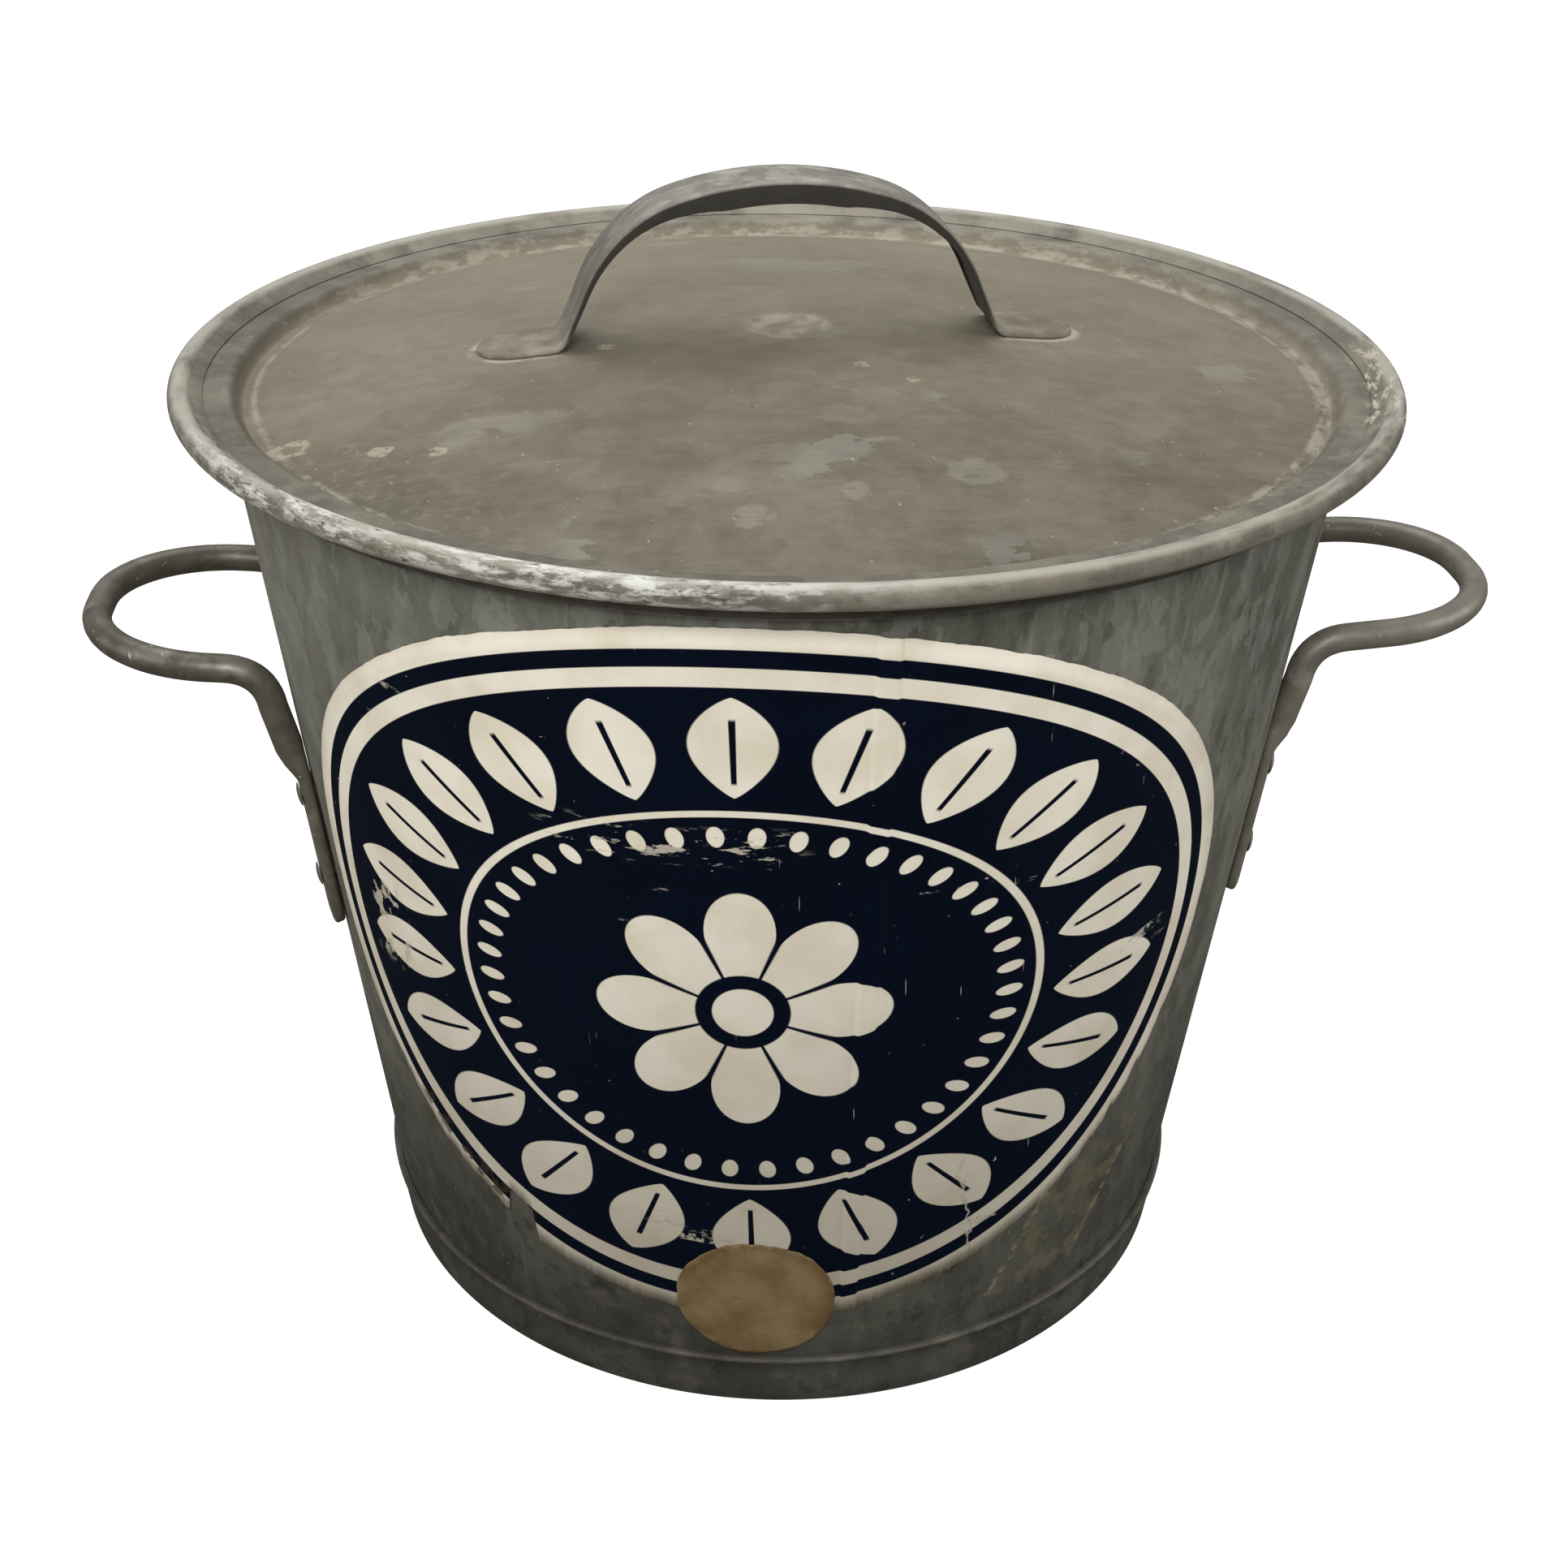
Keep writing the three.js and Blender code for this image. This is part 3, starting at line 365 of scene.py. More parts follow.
def hoop_out(z):
    """Outer radius of the hoop at a height."""
    return hoop_in(z) + HOOP


def skirt(z):
    """Outer radius of the bottom's turned-down edge at a height."""
    return wall(z) - SHEET - GAP


hoop_section = [(hoop_out(0) - LEDGE, 0), (hoop_out(0) - 0.8, 0), (hoop_out(0), 0.8)]
hoop_section += [(hoop_out(z), z) for z in (8, 16, 20.8)]
hoop_section += arc(hoop_in(22.5) + BEAD, 22.7, BEAD, -50, 100, 10)
hoop_section += [(hoop_in(HOOP_TOP), HOOP_TOP), (hoop_in(HOOP), HOOP),
                 (hoop_out(0) - LEDGE, HOOP)]
hoop = stand_for(turned("foot_hoop_skin", hoop_section), "foot_hoop")
bottom_line = rounded([(0, 18, 0), (118, 18, 3), (122, 16, 3), (skirt(16) - 0.5, 16, 4),
                       (skirt(7) - SHEET, 7, 0)])
bottom = turned("tub_bottom_skin", sheet(bottom_line, SHEET))
stand_for(bottom, "tub_bottom")
print("hoop", tuple(round(v, 4) for v in hoop.dimensions))

# %% [markdown]
# ## The side handles
# Each handle is one length of round bar. It is bent to a loop that rises a little outwards,
# its ends are turned down and hammered flat, and two rivets hold each end to the wall. Use
# has bent the pair unequally: the frame keeps their mean, and the skins follow the photo.

# %% Bar handles
BAR = 5.3
FLAT = 2.5
FLAT_WIDE = 7.5
LEG_END = 157.5
LEG_TOP = 229
OFF_WALL = 7.5
BEND = 15
LOOP_Z = 258.5
TIPS = {"right": wall(LOOP_Z) + 77.5, "left": wall(LOOP_Z) + 66.5}
SPAN = 50.5
CORNER = 46.0
RISE = radians(4.6)
SWING = asin(SPAN / (wall(LOOP_Z) + OFF_WALL))


def off_wall(swing, z, off):
    """A point that stands off the wall, at an angle from +X towards +Y."""
    c, s = cos(swing), sin(swing)
    out = np.array([cos(LEAN) * c, cos(LEAN) * s, -sin(LEAN)])
    return np.array([wall(z) * c, wall(z) * s, z]) + off * out, out


def bar_stations(tip):
    """Centre, flat side, half thickness and half width, from a leg's end to the loop's tip."""
    rows = []
    for z in [150, 150.6, 151.6, 153.2, 155.5, 159, *np.linspace(164, LEG_TOP, 40)]:
        to_round = smooth(z - 212, 17)
        end = 1
        if z < LEG_END:
            end = sqrt(np.clip(1 - ((LEG_END - z) / 7.6) ** 2, 0.02, 1))
        thick = (FLAT + (BAR - FLAT) * to_round) * (0.7 + 0.3 * end)
        wide = FLAT_WIDE * end + (BAR - FLAT_WIDE) * to_round
        at, out = off_wall(SWING, z, GAP + thick)
        rows.append((at, out, thick, wide))
    c, s = cos(SWING), sin(SWING)
    up = np.array([sin(LEAN) * c, sin(LEAN) * s, cos(LEAN)])
    corner = np.array([(wall(LOOP_Z) + OFF_WALL) * c, SPAN, LOOP_Z])
    level = np.array([cos(RISE), 0, sin(RISE)])
    first, last = corner - BEND * up, corner + BEND * level
    start, out = rows[-1][0], rows[-1][1]
    for t in np.linspace(0.15, 0.95, 6):
        rows.append((start + (first - start) * t, out, BAR, BAR))
    down = np.array([sin(RISE), 0, -cos(RISE)])
    for t in np.linspace(0, 1, 12):
        at = (1 - t) ** 2 * first + 2 * t * (1 - t) * corner + t * t * last
        rows.append((at, (1 - t) * out + t * down, BAR, BAR))
    run = (tip - corner[0]) / cos(RISE) - CORNER
    for t in np.linspace(BEND, run, 5)[1:-1]:
        rows.append((corner + t * level, down, BAR, BAR))
    for turn in np.linspace(pi / 2, 0, 22):
        at = corner + (run + CORNER * cos(turn)) * level
        rows.append((at - np.array([0, CORNER * (1 - sin(turn)), 0]), down, BAR, BAR))
    return rows


def bar_handle(name, side, tip):
    """Sweeps the bar along its stations, mirrors it and turns it to its side."""
    half = bar_stations(tip)
    mirror = np.array([1, -1, 1])
    rows = half + [(a * mirror, o * mirror, t, w) for a, o, t, w in half[::-1]]
    centres = np.array([row[0] for row in rows])
    along = np.gradient(centres, axis=0)
    along /= np.linalg.norm(along, axis=1)[:, None]
    turn = circle(24)
    verts = []
    for (at, out, thick, wide), way in zip(rows, along):
        out = out - way * (out @ way)
        out /= np.linalg.norm(out)
        across = np.cross(way, out)
        square = 0.62 if wide > thick * 1.3 else 1.0
        c = np.sign(np.cos(turn)) * np.abs(np.cos(turn)) ** square
        s = np.sign(np.sin(turn)) * np.abs(np.sin(turn)) ** square
        verts.append(at + thick * c[:, None] * out + wide * s[:, None] * across)
    verts = np.concatenate(verts) * np.array([side, side, 1])
    return skin(name, verts, rod_faces(len(rows), len(turn)))


handles = []
for name, side in (("right", 1), ("left", -1)):
    handle = bar_handle(f"bar_handle_{name}", side, TIPS[name])
    handles.append(stand_for(handle, f"side_handle_{name}"))
print("handle", tuple(round(v, 4) for v in handles[0].dimensions))

# %% [markdown]
# A rivet is a headed pin whose tail is beaten over inside the tub. The head is low and
# round. Each rivet is turned from the same section and set square to the wall.

# %% Rivets
SHANK = 2.4
HEAD_R, HEAD_Z, HEAD_RISE = 4.6, 5.6, 1.2
TAIL_Z = -1.3

tail = [(0, -2.7), (2.6, -2.6), (3.7, -2.1), (4.0, TAIL_Z)]
shank = [(SHANK, TAIL_Z), (SHANK, HEAD_Z), (HEAD_R, HEAD_Z)]
head = [(HEAD_R * cos(a), HEAD_Z + HEAD_RISE * sin(a))
        for a in np.radians([12, 26, 42, 58, 74])]
pin = tail + shank + head + [(0, HEAD_Z + HEAD_RISE)]
rivets = []
for side_name, side in (("right", 0.0), ("left", pi)):
    for leg in (1, -1):
        where = "rear" if (leg > 0) == (side == 0.0) else "front"
        for z, level in ((172.0, "lower"), (207.0, "upper")):
            node = f"rivet_{side_name}_{where}_{level}"
            rivet = turned(node + "_skin", pin, circle(24))
            at, out = off_wall(SWING * leg + side, z, 0)
            aim = Vector(out).to_track_quat("Z", "Y").to_matrix().to_4x4()
            rivet.data.transform(Matrix.Translation(Vector(at * MM)) @ aim)
            rivets.append(stand_for(rivet, node))
print(len(rivets), "rivets")

# %% [markdown]
# ## The lid
# One disc of sheet, pressed to a shallow dome. A step round the panel drops into the mouth
# of the tub. The edge is rolled over a wire, and its hem is dressed down on the ring. A
# plain dimple marks the middle.

# %% Lid
LID_R = 220.0
LID_ROLL = 4.2
LID_ROLL_Z = 354.6
STEP_R = wall(RIM_Z) - SHEET - 1.2 - SHEET
PANEL_R = STEP_R - 3.4
PANEL_Z = 348.0
DOME = 19.0
DIMPLE_R = 16
RING_Z = RIM_Z + ROLL_R + GAP


def dome(r):
    """Height of the top of the panel at a radius."""
    return PANEL_Z + DOME * (1 - (r / PANEL_R) ** 2)


radii = [0, 6, 11, 13, 13.6, 14.2, 14.8, 15.4, DIMPLE_R, 17, 24, *range(40, 161, 20), 175, 184]
under = [(r, dome(r) - SHEET - smooth(DIMPLE_R - r, 3.0)) for r in radii]
step = rounded([(*under[-1], 0), (PANEL_R + 0.6, dome(PANEL_R) - SHEET, 2.4),
                (STEP_R + 0.9, RING_Z + 0.3, 2.2), (207.7, RING_Z + 0.02, 0.4),
                (208.6, RING_Z - 0.6, 0.4), (213.3, 351.2, 1.0), (214.1, 350.8, 0)])
edge_roll = arc(LID_R - LID_ROLL, LID_ROLL_Z, LID_ROLL, -112, 122, 24)
hem = rounded([(*edge_roll[-1], 0), (211.4, 356.2, 2.0), (208.2, 354.35, 0)])
lid_line = under + step[1:] + edge_roll + hem[1:]
lid = stand_for(turned("lid_skin", sheet(lid_line, SHEET)), "lid")
print("lid", tuple(round(v, 4) for v in lid.dimensions))

# %% [markdown]
# The handle of the lid is a strip with its two edges turned down, which stiffens it. The
# edges are deepest at the crown and die out at the feet, where two flat tabs lie on the
# panel. It is turned a little out of line with the side handles. It sits 3.4 mm to the left
# of the dimple, and it is a little longer and arches 2.4 mm higher than that of the frame.

# %% Handle of the lid
GRIP_TURN = radians(3.4)
GRIP_TOP = 419.2
GRIP_SHIFT = 3.4
GRIP_STRETCH = 1.04
GRIP_LIFT = 2.4
HALF = 14.0
THICK = 1.3
TAB = 25
CROWN_R, SHOULDER_R, FOOT_BEND = 120, 52, 5
CROWN_DEPTH, LEG_DEPTH = 7.3, 1.7


def tab_top(s):
    """Height of a tab's top, which lies on the panel."""
    return dome(s) + GAP + THICK


def grip_line():
    """Distance out, height and slope of the strip's top line for one half."""
    line = []

    def bend(s, z, radius, slopes):
        """Adds an arc about (s, z). Its slope is its own angle from the top."""
        line.extend((s + radius * sin(a), z + radius * cos(a), a) for a in slopes)

    crown, leg = radians(17.5), radians(66.8)
    inward = CROWN_R - SHOULDER_R
    bend(0, GRIP_TOP - CROWN_R, CROWN_R, np.linspace(0, crown, 14))
    bend(inward * sin(crown), GRIP_TOP - CROWN_R + inward * cos(crown), SHOULDER_R,
         np.linspace(crown, leg, 22)[1:])
    s0, z0, _ = line[-1]
    drop, reach = FOOT_BEND * (1 - cos(leg)), FOOT_BEND * sin(leg)
    run = 0
    for _ in range(20):
        run = (z0 - drop - tab_top(s0 + run + reach)) / tan(leg)
    foot_s, foot_z = s0 + run, z0 - run * tan(leg)
    for t in np.linspace(0, 1, 8)[1:]:
        line.append((s0 + run * t, z0 - run * t * tan(leg), leg))
    start = foot_s + reach
    bend(start, foot_z - drop + FOOT_BEND, -FOOT_BEND, np.linspace(leg, 0, 10)[1:])
    for t in np.sin(quarter(20))[1:]:
        s = start + TAB * t
        line.append((s, tab_top(s), atan2(tab_top(start) - tab_top(s), s - start)))
    return line, foot_s, start


grip_path, grip_foot, tab_start = grip_line()


def grip_ring(s, z, slope):
    """Section of the strip: a flat top with its rounded edges turned down."""
    beyond = max(0.0, s - (tab_start + TAB - HALF))
    half = max(0.8, sqrt(max(0.0, HALF ** 2 - beyond ** 2)))
    depth = THICK + 0.05
    if s <= grip_foot:
        to_foot = np.clip((s - 22) / (grip_foot - 22), 0, 1)
        depth = max(CROWN_DEPTH + (LEG_DEPTH - CROWN_DEPTH) * to_foot ** 0.7, depth)
    bend = min(1.0, 0.8 * depth, 0.5 * half)
    right = [(half, -depth)]
    right += [(half - bend + bend * cos(a), -bend + bend * sin(a)) for a in quarter(6)]
    inner = half - THICK
    tight = max(bend - THICK, 0.05)
    low = [(-inner, -depth)]
    low += [(-inner + tight - tight * cos(a), max(tight * sin(a) - THICK - tight, -depth))
            for a in quarter(4)]
    outline = right + [(-x, y) for x, y in right[::-1]] + low + [(-x, y) for x, y in low[::-1]]
    return [(s + deep * sin(slope), across, z + deep * cos(slope)) for across, deep in outline]


rings = [[(-x, y, z) for x, y, z in grip_ring(*row)] for row in grip_path[1:][::-1]]
rings += [grip_ring(*row) for row in grip_path]
grip = skin("lid_grip_strip", np.concatenate(rings), rod_faces(len(rings), len(rings[0])))
for vertex in grip.data.vertices:
    x, _, z = vertex.co / MM
    moved = GRIP_STRETCH * x - GRIP_SHIFT
    lift = GRIP_LIFT * smooth(z - 372, 46)
    vertex.co.x = moved * MM
    vertex.co.z = (z + dome(abs(moved)) - dome(abs(x)) + lift) * MM
grip.data.transform(Matrix.Rotation(GRIP_TURN, 4, "Z"))
grip.data.set_sharp_from_angle(angle=radians(40))
stand_for(grip, "lid_handle")
print("strip", len(rings), "rings")

# %% [markdown]
# ## The injector set
# Below the linen lies a perforated plate on three feet. The lye boils under it, rises in
# the tube and is sprayed over the linen by the head. Turned pieces are made finely, and
# the pierced ones keep the shape of the frame with rounded shading.

# %% Injector set
TUBE_R = 21
TUBE_IN = TUBE_R - SHEET
NECK_R = TUBE_R + GAP
TUBE_Z, TUBE_TOP = 119.3, 322
BEAD_Z = 293.7

cone_line = rounded([(NECK_R, 133.3, 0), (NECK_R, TUBE_Z, 4), (68, 79.3, 4), (75, 79.3, 0)])
cone = turned("injector_cone_skin", sheet(cone_line, SHEET), circle(96))
stand_for(cone, "injector_cone")
bead = [(TUBE_R + 1.6 * sin(pi * t), BEAD_Z + 4 * t) for t in np.linspace(0, 1, 9)]
tube_section = [(TUBE_IN, TUBE_Z), (TUBE_R, TUBE_Z), *bead,
                (TUBE_R, TUBE_TOP), (TUBE_IN, TUBE_TOP)]
tube = turned("injector_tube_skin", tube_section, circle(96))
stand_for(tube, "injector_tube")


def eased(node):
    """A copy of a CAD node with soft edges and smooth shading, standing for it."""
    thing = bpy.data.objects.new(node + "_skin", frame["nodes"][node].data.copy())
    scene.collection.objects.link(thing)
    thing.data.materials.clear()
    thing.data.shade_smooth()
    thing.data.set_sharp_from_angle(angle=radians(28))
    return stand_for(thing, node)


pierced = [eased("false_bottom"), eased("spray_head")]
feet = [eased(f"false_bottom_foot_{i}") for i in (1, 2, 3)]
print("injector set", [o.name for o in pierced + feet])

# %% [markdown]
# ## Paper on the wall
# A cone unrolls to a flat sector, so a flat oval of paper is drawn there and wrapped back
# on. Its columns run up the wall and follow the ridge of the seam. Damage eats into the
# edge: the lower left has lost its outer border.

# %% Paper shapes
LABEL_TURN = radians(-9.1)
LABEL_TILT = radians(-1.2)
LABEL_Z = 191.5
LABEL_WIDE = 188.0
LABEL_HIGH = 147.8
STICKER_TURN = radians(-7.9)
STICKER_Z = 54.7
STICKER_R = 29.0
PAPER = 0.25
WAVES = 6
FULL = 6.28


def ripple(x, seed, *sizes):
    """Smooth random ups and downs along a line, of several (length, height) sizes."""
    draw = np.random.default_rng(seed).uniform
    total = 0.0
    for size, height in sizes:
        phase = draw(0, FULL, WAVES)
        speed = draw(0.6, 1.6, WAVES) * FULL / size
        total += height * sum(np.sin(x * s + p) for s, p in zip(speed, phase)) / WAVES
    return total


def paper(name, turn, tilt, middle, half_wide, half_high, off, spacing, damage):
    """An oval of paper wrapped on the wall, with its flat drawing stored on its points."""
    slant = wall(middle) / sin(LEAN)
    reach = 1.03 * half_wide / wall(middle)
    columns = np.linspace(-reach, reach, int(2 * reach * wall(middle) / spacing) + 1)
    columns = np.sort(np.concatenate([columns, seam_azimuths[3:-3:2] - turn]))
    shares = np.linspace(0, 1, 40)
    verts, flat = [], []
    for column in columns:
        psi = column * sin(LEAN)
        s, c = sin(psi - tilt) / half_wide, cos(psi - tilt) / half_high
        s0, c0 = sin(-tilt) / half_wide, cos(tilt) / half_high
        a, b = s * s + c * c, -2 * slant * (s * s0 + c * c0)
        k = slant ** 2 * (s0 * s0 + c0 * c0) - 1
        if b * b - 4 * a * k <= 0:
            continue
        root = sqrt(b * b - 4 * a * k)
        ends = np.array([-b - root, -b + root]) / (2 * a)
        ends = damage(column * wall(middle), ends)
        if ends[1] - ends[0] < 1.0:
            continue
        along = ends[0] + (ends[1] - ends[0]) * shares
        z = (along * sin(LEAN) - FOOT_R) / TAPER
        r = wall(z) + float(seam_fold(turn + column)) + off
        azimuth = turn + column
        verts.append(np.stack([r * sin(azimuth), -r * cos(azimuth), z], axis=-1))
        u, v = along * sin(psi), along * cos(psi) - slant
        flat.append(np.stack([u * cos(tilt) - v * sin(tilt),
                              u * sin(tilt) + v * cos(tilt)], axis=-1))
    verts, flat = np.array(verts), np.array(flat)
    rows, count = verts.shape[:2]
    thing = skin(name, verts.reshape(-1, 3), grid_faces(rows, count, False, False))
    drawing = thing.data.attributes.new("drawing", "FLOAT_VECTOR", "POINT")
    values = np.zeros((rows * count, 3), np.float32)
    values[:, :2] = flat.reshape(-1, 2)
    drawing.data.foreach_set("vector", values.ravel())
    solid = thing.modifiers.new("thickness", "SOLIDIFY")
    solid.thickness = PAPER * MM
    solid.offset = 0
    return thing


def torn(x, ends):
    """Ragged ends of a column: small bites all round, a piece gone from the lower left."""
    low, high = ends
    low += 0.9 + ripple(x, 3, (60, 1.2), (14, 0.7), (4, 0.5))
    high -= 0.5 + ripple(x, 5, (90, 0.8), (20, 0.4), (5, 0.2))
    tear = smooth(x + 104, 3) * smooth(-89 - x, 1.5)
    low += tear * (14.5 + ripple(x, 8, (30, 1.0), (9, 1.6), (3, 0.8)))
    thin = smooth(x + 176, 14) * smooth(-102 - x, 4)
    low += thin * (2.4 + ripple(x, 9, (22, 1.6), (7, 1.2), (2.5, 0.7)))
    nibbled = smooth(x - 128, 12)
    low += nibbled * max(0.0, 0.6 + ripple(x, 10, (16, 3.2), (5, 1.6), (2, 0.8)))
    return low, high


def worn(x, ends):
    """A slightly uneven round."""
    uneven = ripple(x, 11, (26, 0.9), (7, 0.4))
    return ends[0] + uneven, ends[1] - uneven


label = paper("paper_label", LABEL_TURN, LABEL_TILT, LABEL_Z, LABEL_WIDE, LABEL_HIGH,
              0.45, 0.8, torn)
stand_for(label, "front_label")
sticker = paper("paper_round", STICKER_TURN, 0.0, STICKER_Z, STICKER_R, STICKER_R,
                1.05, 0.6, worn)
stand_for(sticker, "round_sticker")
print("label", len(label.data.vertices), "points")

# %% [markdown]
# ## Painting with numbers
# A finish is built from fields: values that vary over the surface, such as the height, the
# tone of each zinc crystal or the distance from an edge. Field turns plain arithmetic into
# shader nodes, so that a recipe below reads like a formula. Its numbers are millimetres,
# degrees round the axis, shares of a coat, seeds and screen colours from 0 to 255.

# %% Field arithmetic for shaders
class Field:
    """A value carried by a shader socket. Arithmetic on it makes Math nodes."""

    def __init__(self, paint, socket):
        self.paint, self.socket = paint, socket

    def math(self, operation, *others):
        node = self.paint.node("Math", operation)
        for slot_in, value in zip(node.inputs, (self, *others)):
            self.paint.plug(value, slot_in)
        return Field(self.paint, node.outputs[0])

    def __add__(self, other):
        return self.math("ADD", other)

    def __sub__(self, other):
        return self.math("SUBTRACT", other)

    def __mul__(self, other):
        return self.math("MULTIPLY", other)

    def __truediv__(self, other):
        return self.math("DIVIDE", other)

    def __rsub__(self, other):
        return self.math("MULTIPLY", -1.0).math("ADD", other)

    def __abs__(self):
        return self.math("ABSOLUTE")

    __radd__, __rmul__ = __add__, __mul__

    def root(self):
        return self.math("SQRT")

    def capped(self):
        return self.math("MINIMUM", 1.0)

    def rise(self, low, high):
        """0 below low, 1 above high, and smooth between."""
        node = self.paint.node("MapRange", **{"From Min": low, "From Max": high})
        node.interpolation_type = "SMOOTHSTEP"
        self.paint.plug(self, node.inputs["Value"])
        return Field(self.paint, node.outputs["Result"])

    def near(self, value, width):
        """1 at a value, falling smoothly to 0 at that distance from it."""
        return abs(self - value).rise(width, 0.0)


class Paint:
    """A material in the making: its coordinates, its textures and its colour so far."""

    colour = None

    def __init__(self, name, drawing=False):
        self.material = bpy.data.materials.new(name)
        self.material.use_nodes = True
        self.tree = self.material.node_tree
        self.shader = self.tree.nodes["Principled BSDF"]
        scale = self.node("VectorMath", "SCALE", Scale=1 / MM)
        self.plug(self.node("TexCoord").outputs["Object"], scale.inputs[0])
        self.place = scale.outputs[0]
        self.x, self.y, self.z = self.split(self.place)
        self.r = (self.x * self.x + self.y * self.y).root()
        self.azimuth = self.x.math("ARCTAN2", self.y * -1.0) * (180 / pi)
        if drawing:
            stored = self.node("Attribute")
            stored.attribute_name = "drawing"
            self.place = stored.outputs["Vector"]
            self.u, self.v, _ = self.split(self.place)

    def node(self, kind, *operation, **values):
        return add_node(self.tree, kind, *operation, **values)

    def plug(self, value, slot_in):
        """Gives an input a field, a number, a colour or another node's output."""
        if isinstance(value, (int, float)):
            slot_in.default_value = value
        elif isinstance(value, tuple):
            slot_in.default_value = (*value, 1)
        else:
            self.tree.links.new(getattr(value, "socket", value), slot_in)

    def split(self, vector):
        node = self.node("SeparateXYZ")
        self.plug(vector, node.inputs[0])
        return [Field(self, socket) for socket in node.outputs]

    def join(self, x, y, z):
        node = self.node("CombineXYZ")
        for value, slot_in in zip((x, y, z), node.inputs):
            self.plug(value, slot_in)
        return node.outputs[0]

    def sized(self, size, stretch, seed, place=None):
        """Coordinates in units of a size, pulled out along some axes."""
        node = self.node("VectorMath", "MULTIPLY_ADD")
        self.plug(place or self.place, node.inputs[0])
        node.inputs[1].default_value = tuple(1 / (size * s) for s in stretch)
        node.inputs[2].default_value = (seed * 7.3, seed * 3.1, seed * 5.7)
        return node.outputs[0]

    def noise(self, size, seed, detail=4, stretch=(1, 1, 1), place=None, rough=0.55):
        """Cloudy values from 0 to 1, with features of a size in millimetres."""
        node = self.node("TexNoise", Scale=1.0, Detail=detail, Roughness=rough)
        self.plug(self.sized(size, stretch, seed, place), node.inputs["Vector"])
        return Field(self, node.outputs["Fac"])

    def crystals(self, size, stretch, seed):
        """A grey value for each crystal of the zinc, with crooked edges."""
        cells = self.sized(size, stretch, seed)
        bend = self.node("TexNoise", Scale=2.2, Detail=4.0)
        self.plug(cells, bend.inputs["Vector"])
        shift = self.node("VectorMath", "MULTIPLY_ADD")
        shift.inputs[1].default_value = (1.5, 1.5, 1.5)
        self.plug(bend.outputs["Color"], shift.inputs[0])
        self.plug(cells, shift.inputs[2])
        node = self.node("TexVoronoi", Scale=1.0)
        self.plug(shift.outputs[0], node.inputs["Vector"])
        return self.split(node.outputs["Color"])[0]

    def blot(self, x, y, radius, seed):
        """1 inside an uneven round mark about (x, y), and 0 outside it."""
        away = ((self.x - x) * (self.x - x) + (self.y - y) * (self.y - y)).root()
        uneven = self.noise(radius * 0.9, seed, 3) * (1.3 * radius)
        return (away + uneven).rise(1.75 * radius, 1.5 * radius)

    def blend(self, amount, below, above):
        """A colour between two others."""
        node = self.node("Mix")
        node.data_type = "RGBA"
        self.plug(amount, node.inputs["Factor"])
        self.plug(below, node.inputs["A"])
        self.plug(above, node.inputs["B"])
        return node.outputs["Result"]

    def coat(self, amount, red, green, blue):
        """Lays a screen colour over the colour so far."""
        self.colour = self.blend(amount, self.colour, tone(red, green, blue))

    def finish(self, rough, metal, height, depth, gloss=0.5):
        """Sends colour and fields to the shader. height is in millimetres of relief."""
        bump = self.node("Bump", Distance=MM, Strength=depth)
        self.plug(height, bump.inputs["Height"])
        for name, value in (("Base Color", self.colour), ("Roughness", rough),
                            ("Metallic", metal), ("Specular IOR Level", gloss),
                            ("Normal", bump.outputs[0])):
            self.plug(value, self.shader.inputs[name])
        return self.material


def dress(things, material):
    """Gives pieces a finish in place of what they have."""
    for thing in things:
        thing.data.materials.clear()
        thing.data.materials.append(material)


def tone(red, green, blue):
    """A screen colour, 0 to 255, as the linear light that shaders use."""
    return tuple((c / 255 / 12.92) if c < 11 else ((c / 255 + 0.055) / 1.055) ** 2.4
                 for c in (red, green, blue))


print("a mid grey is", [round(c, 3) for c in tone(128, 128, 128)])

# %% [markdown]
# ## Weathered zinc
# Hot-dip zinc sets in crystals of differing grey. Years outdoors dull them, leave white
# oxide in the corners and let drips run down the wall. The body, the lid and the inside
# share one base and differ in what has happened to them.

# %% Zinc finishes
def zinc(paint, dark, light, crystal, seed, spangle, stretch=(1, 1, 1)):
    """Colour of dull zinc between two screen colours, and its overall tone as a field."""
    grains = paint.crystals(crystal, stretch, seed)
    grains = grains + paint.crystals(crystal * 0.4, stretch, seed + 5) * 0.5
    cloud = paint.noise(55, seed + 1, 4, stretch) * 0.9
    cloud = cloud + paint.noise(9, seed + 2, 6, stretch) * 0.5
    value = (grains * spangle + cloud - spangle * 0.75).rise(0.38, 1.04)
    return paint.blend(value, tone(*dark), tone(*light)), value


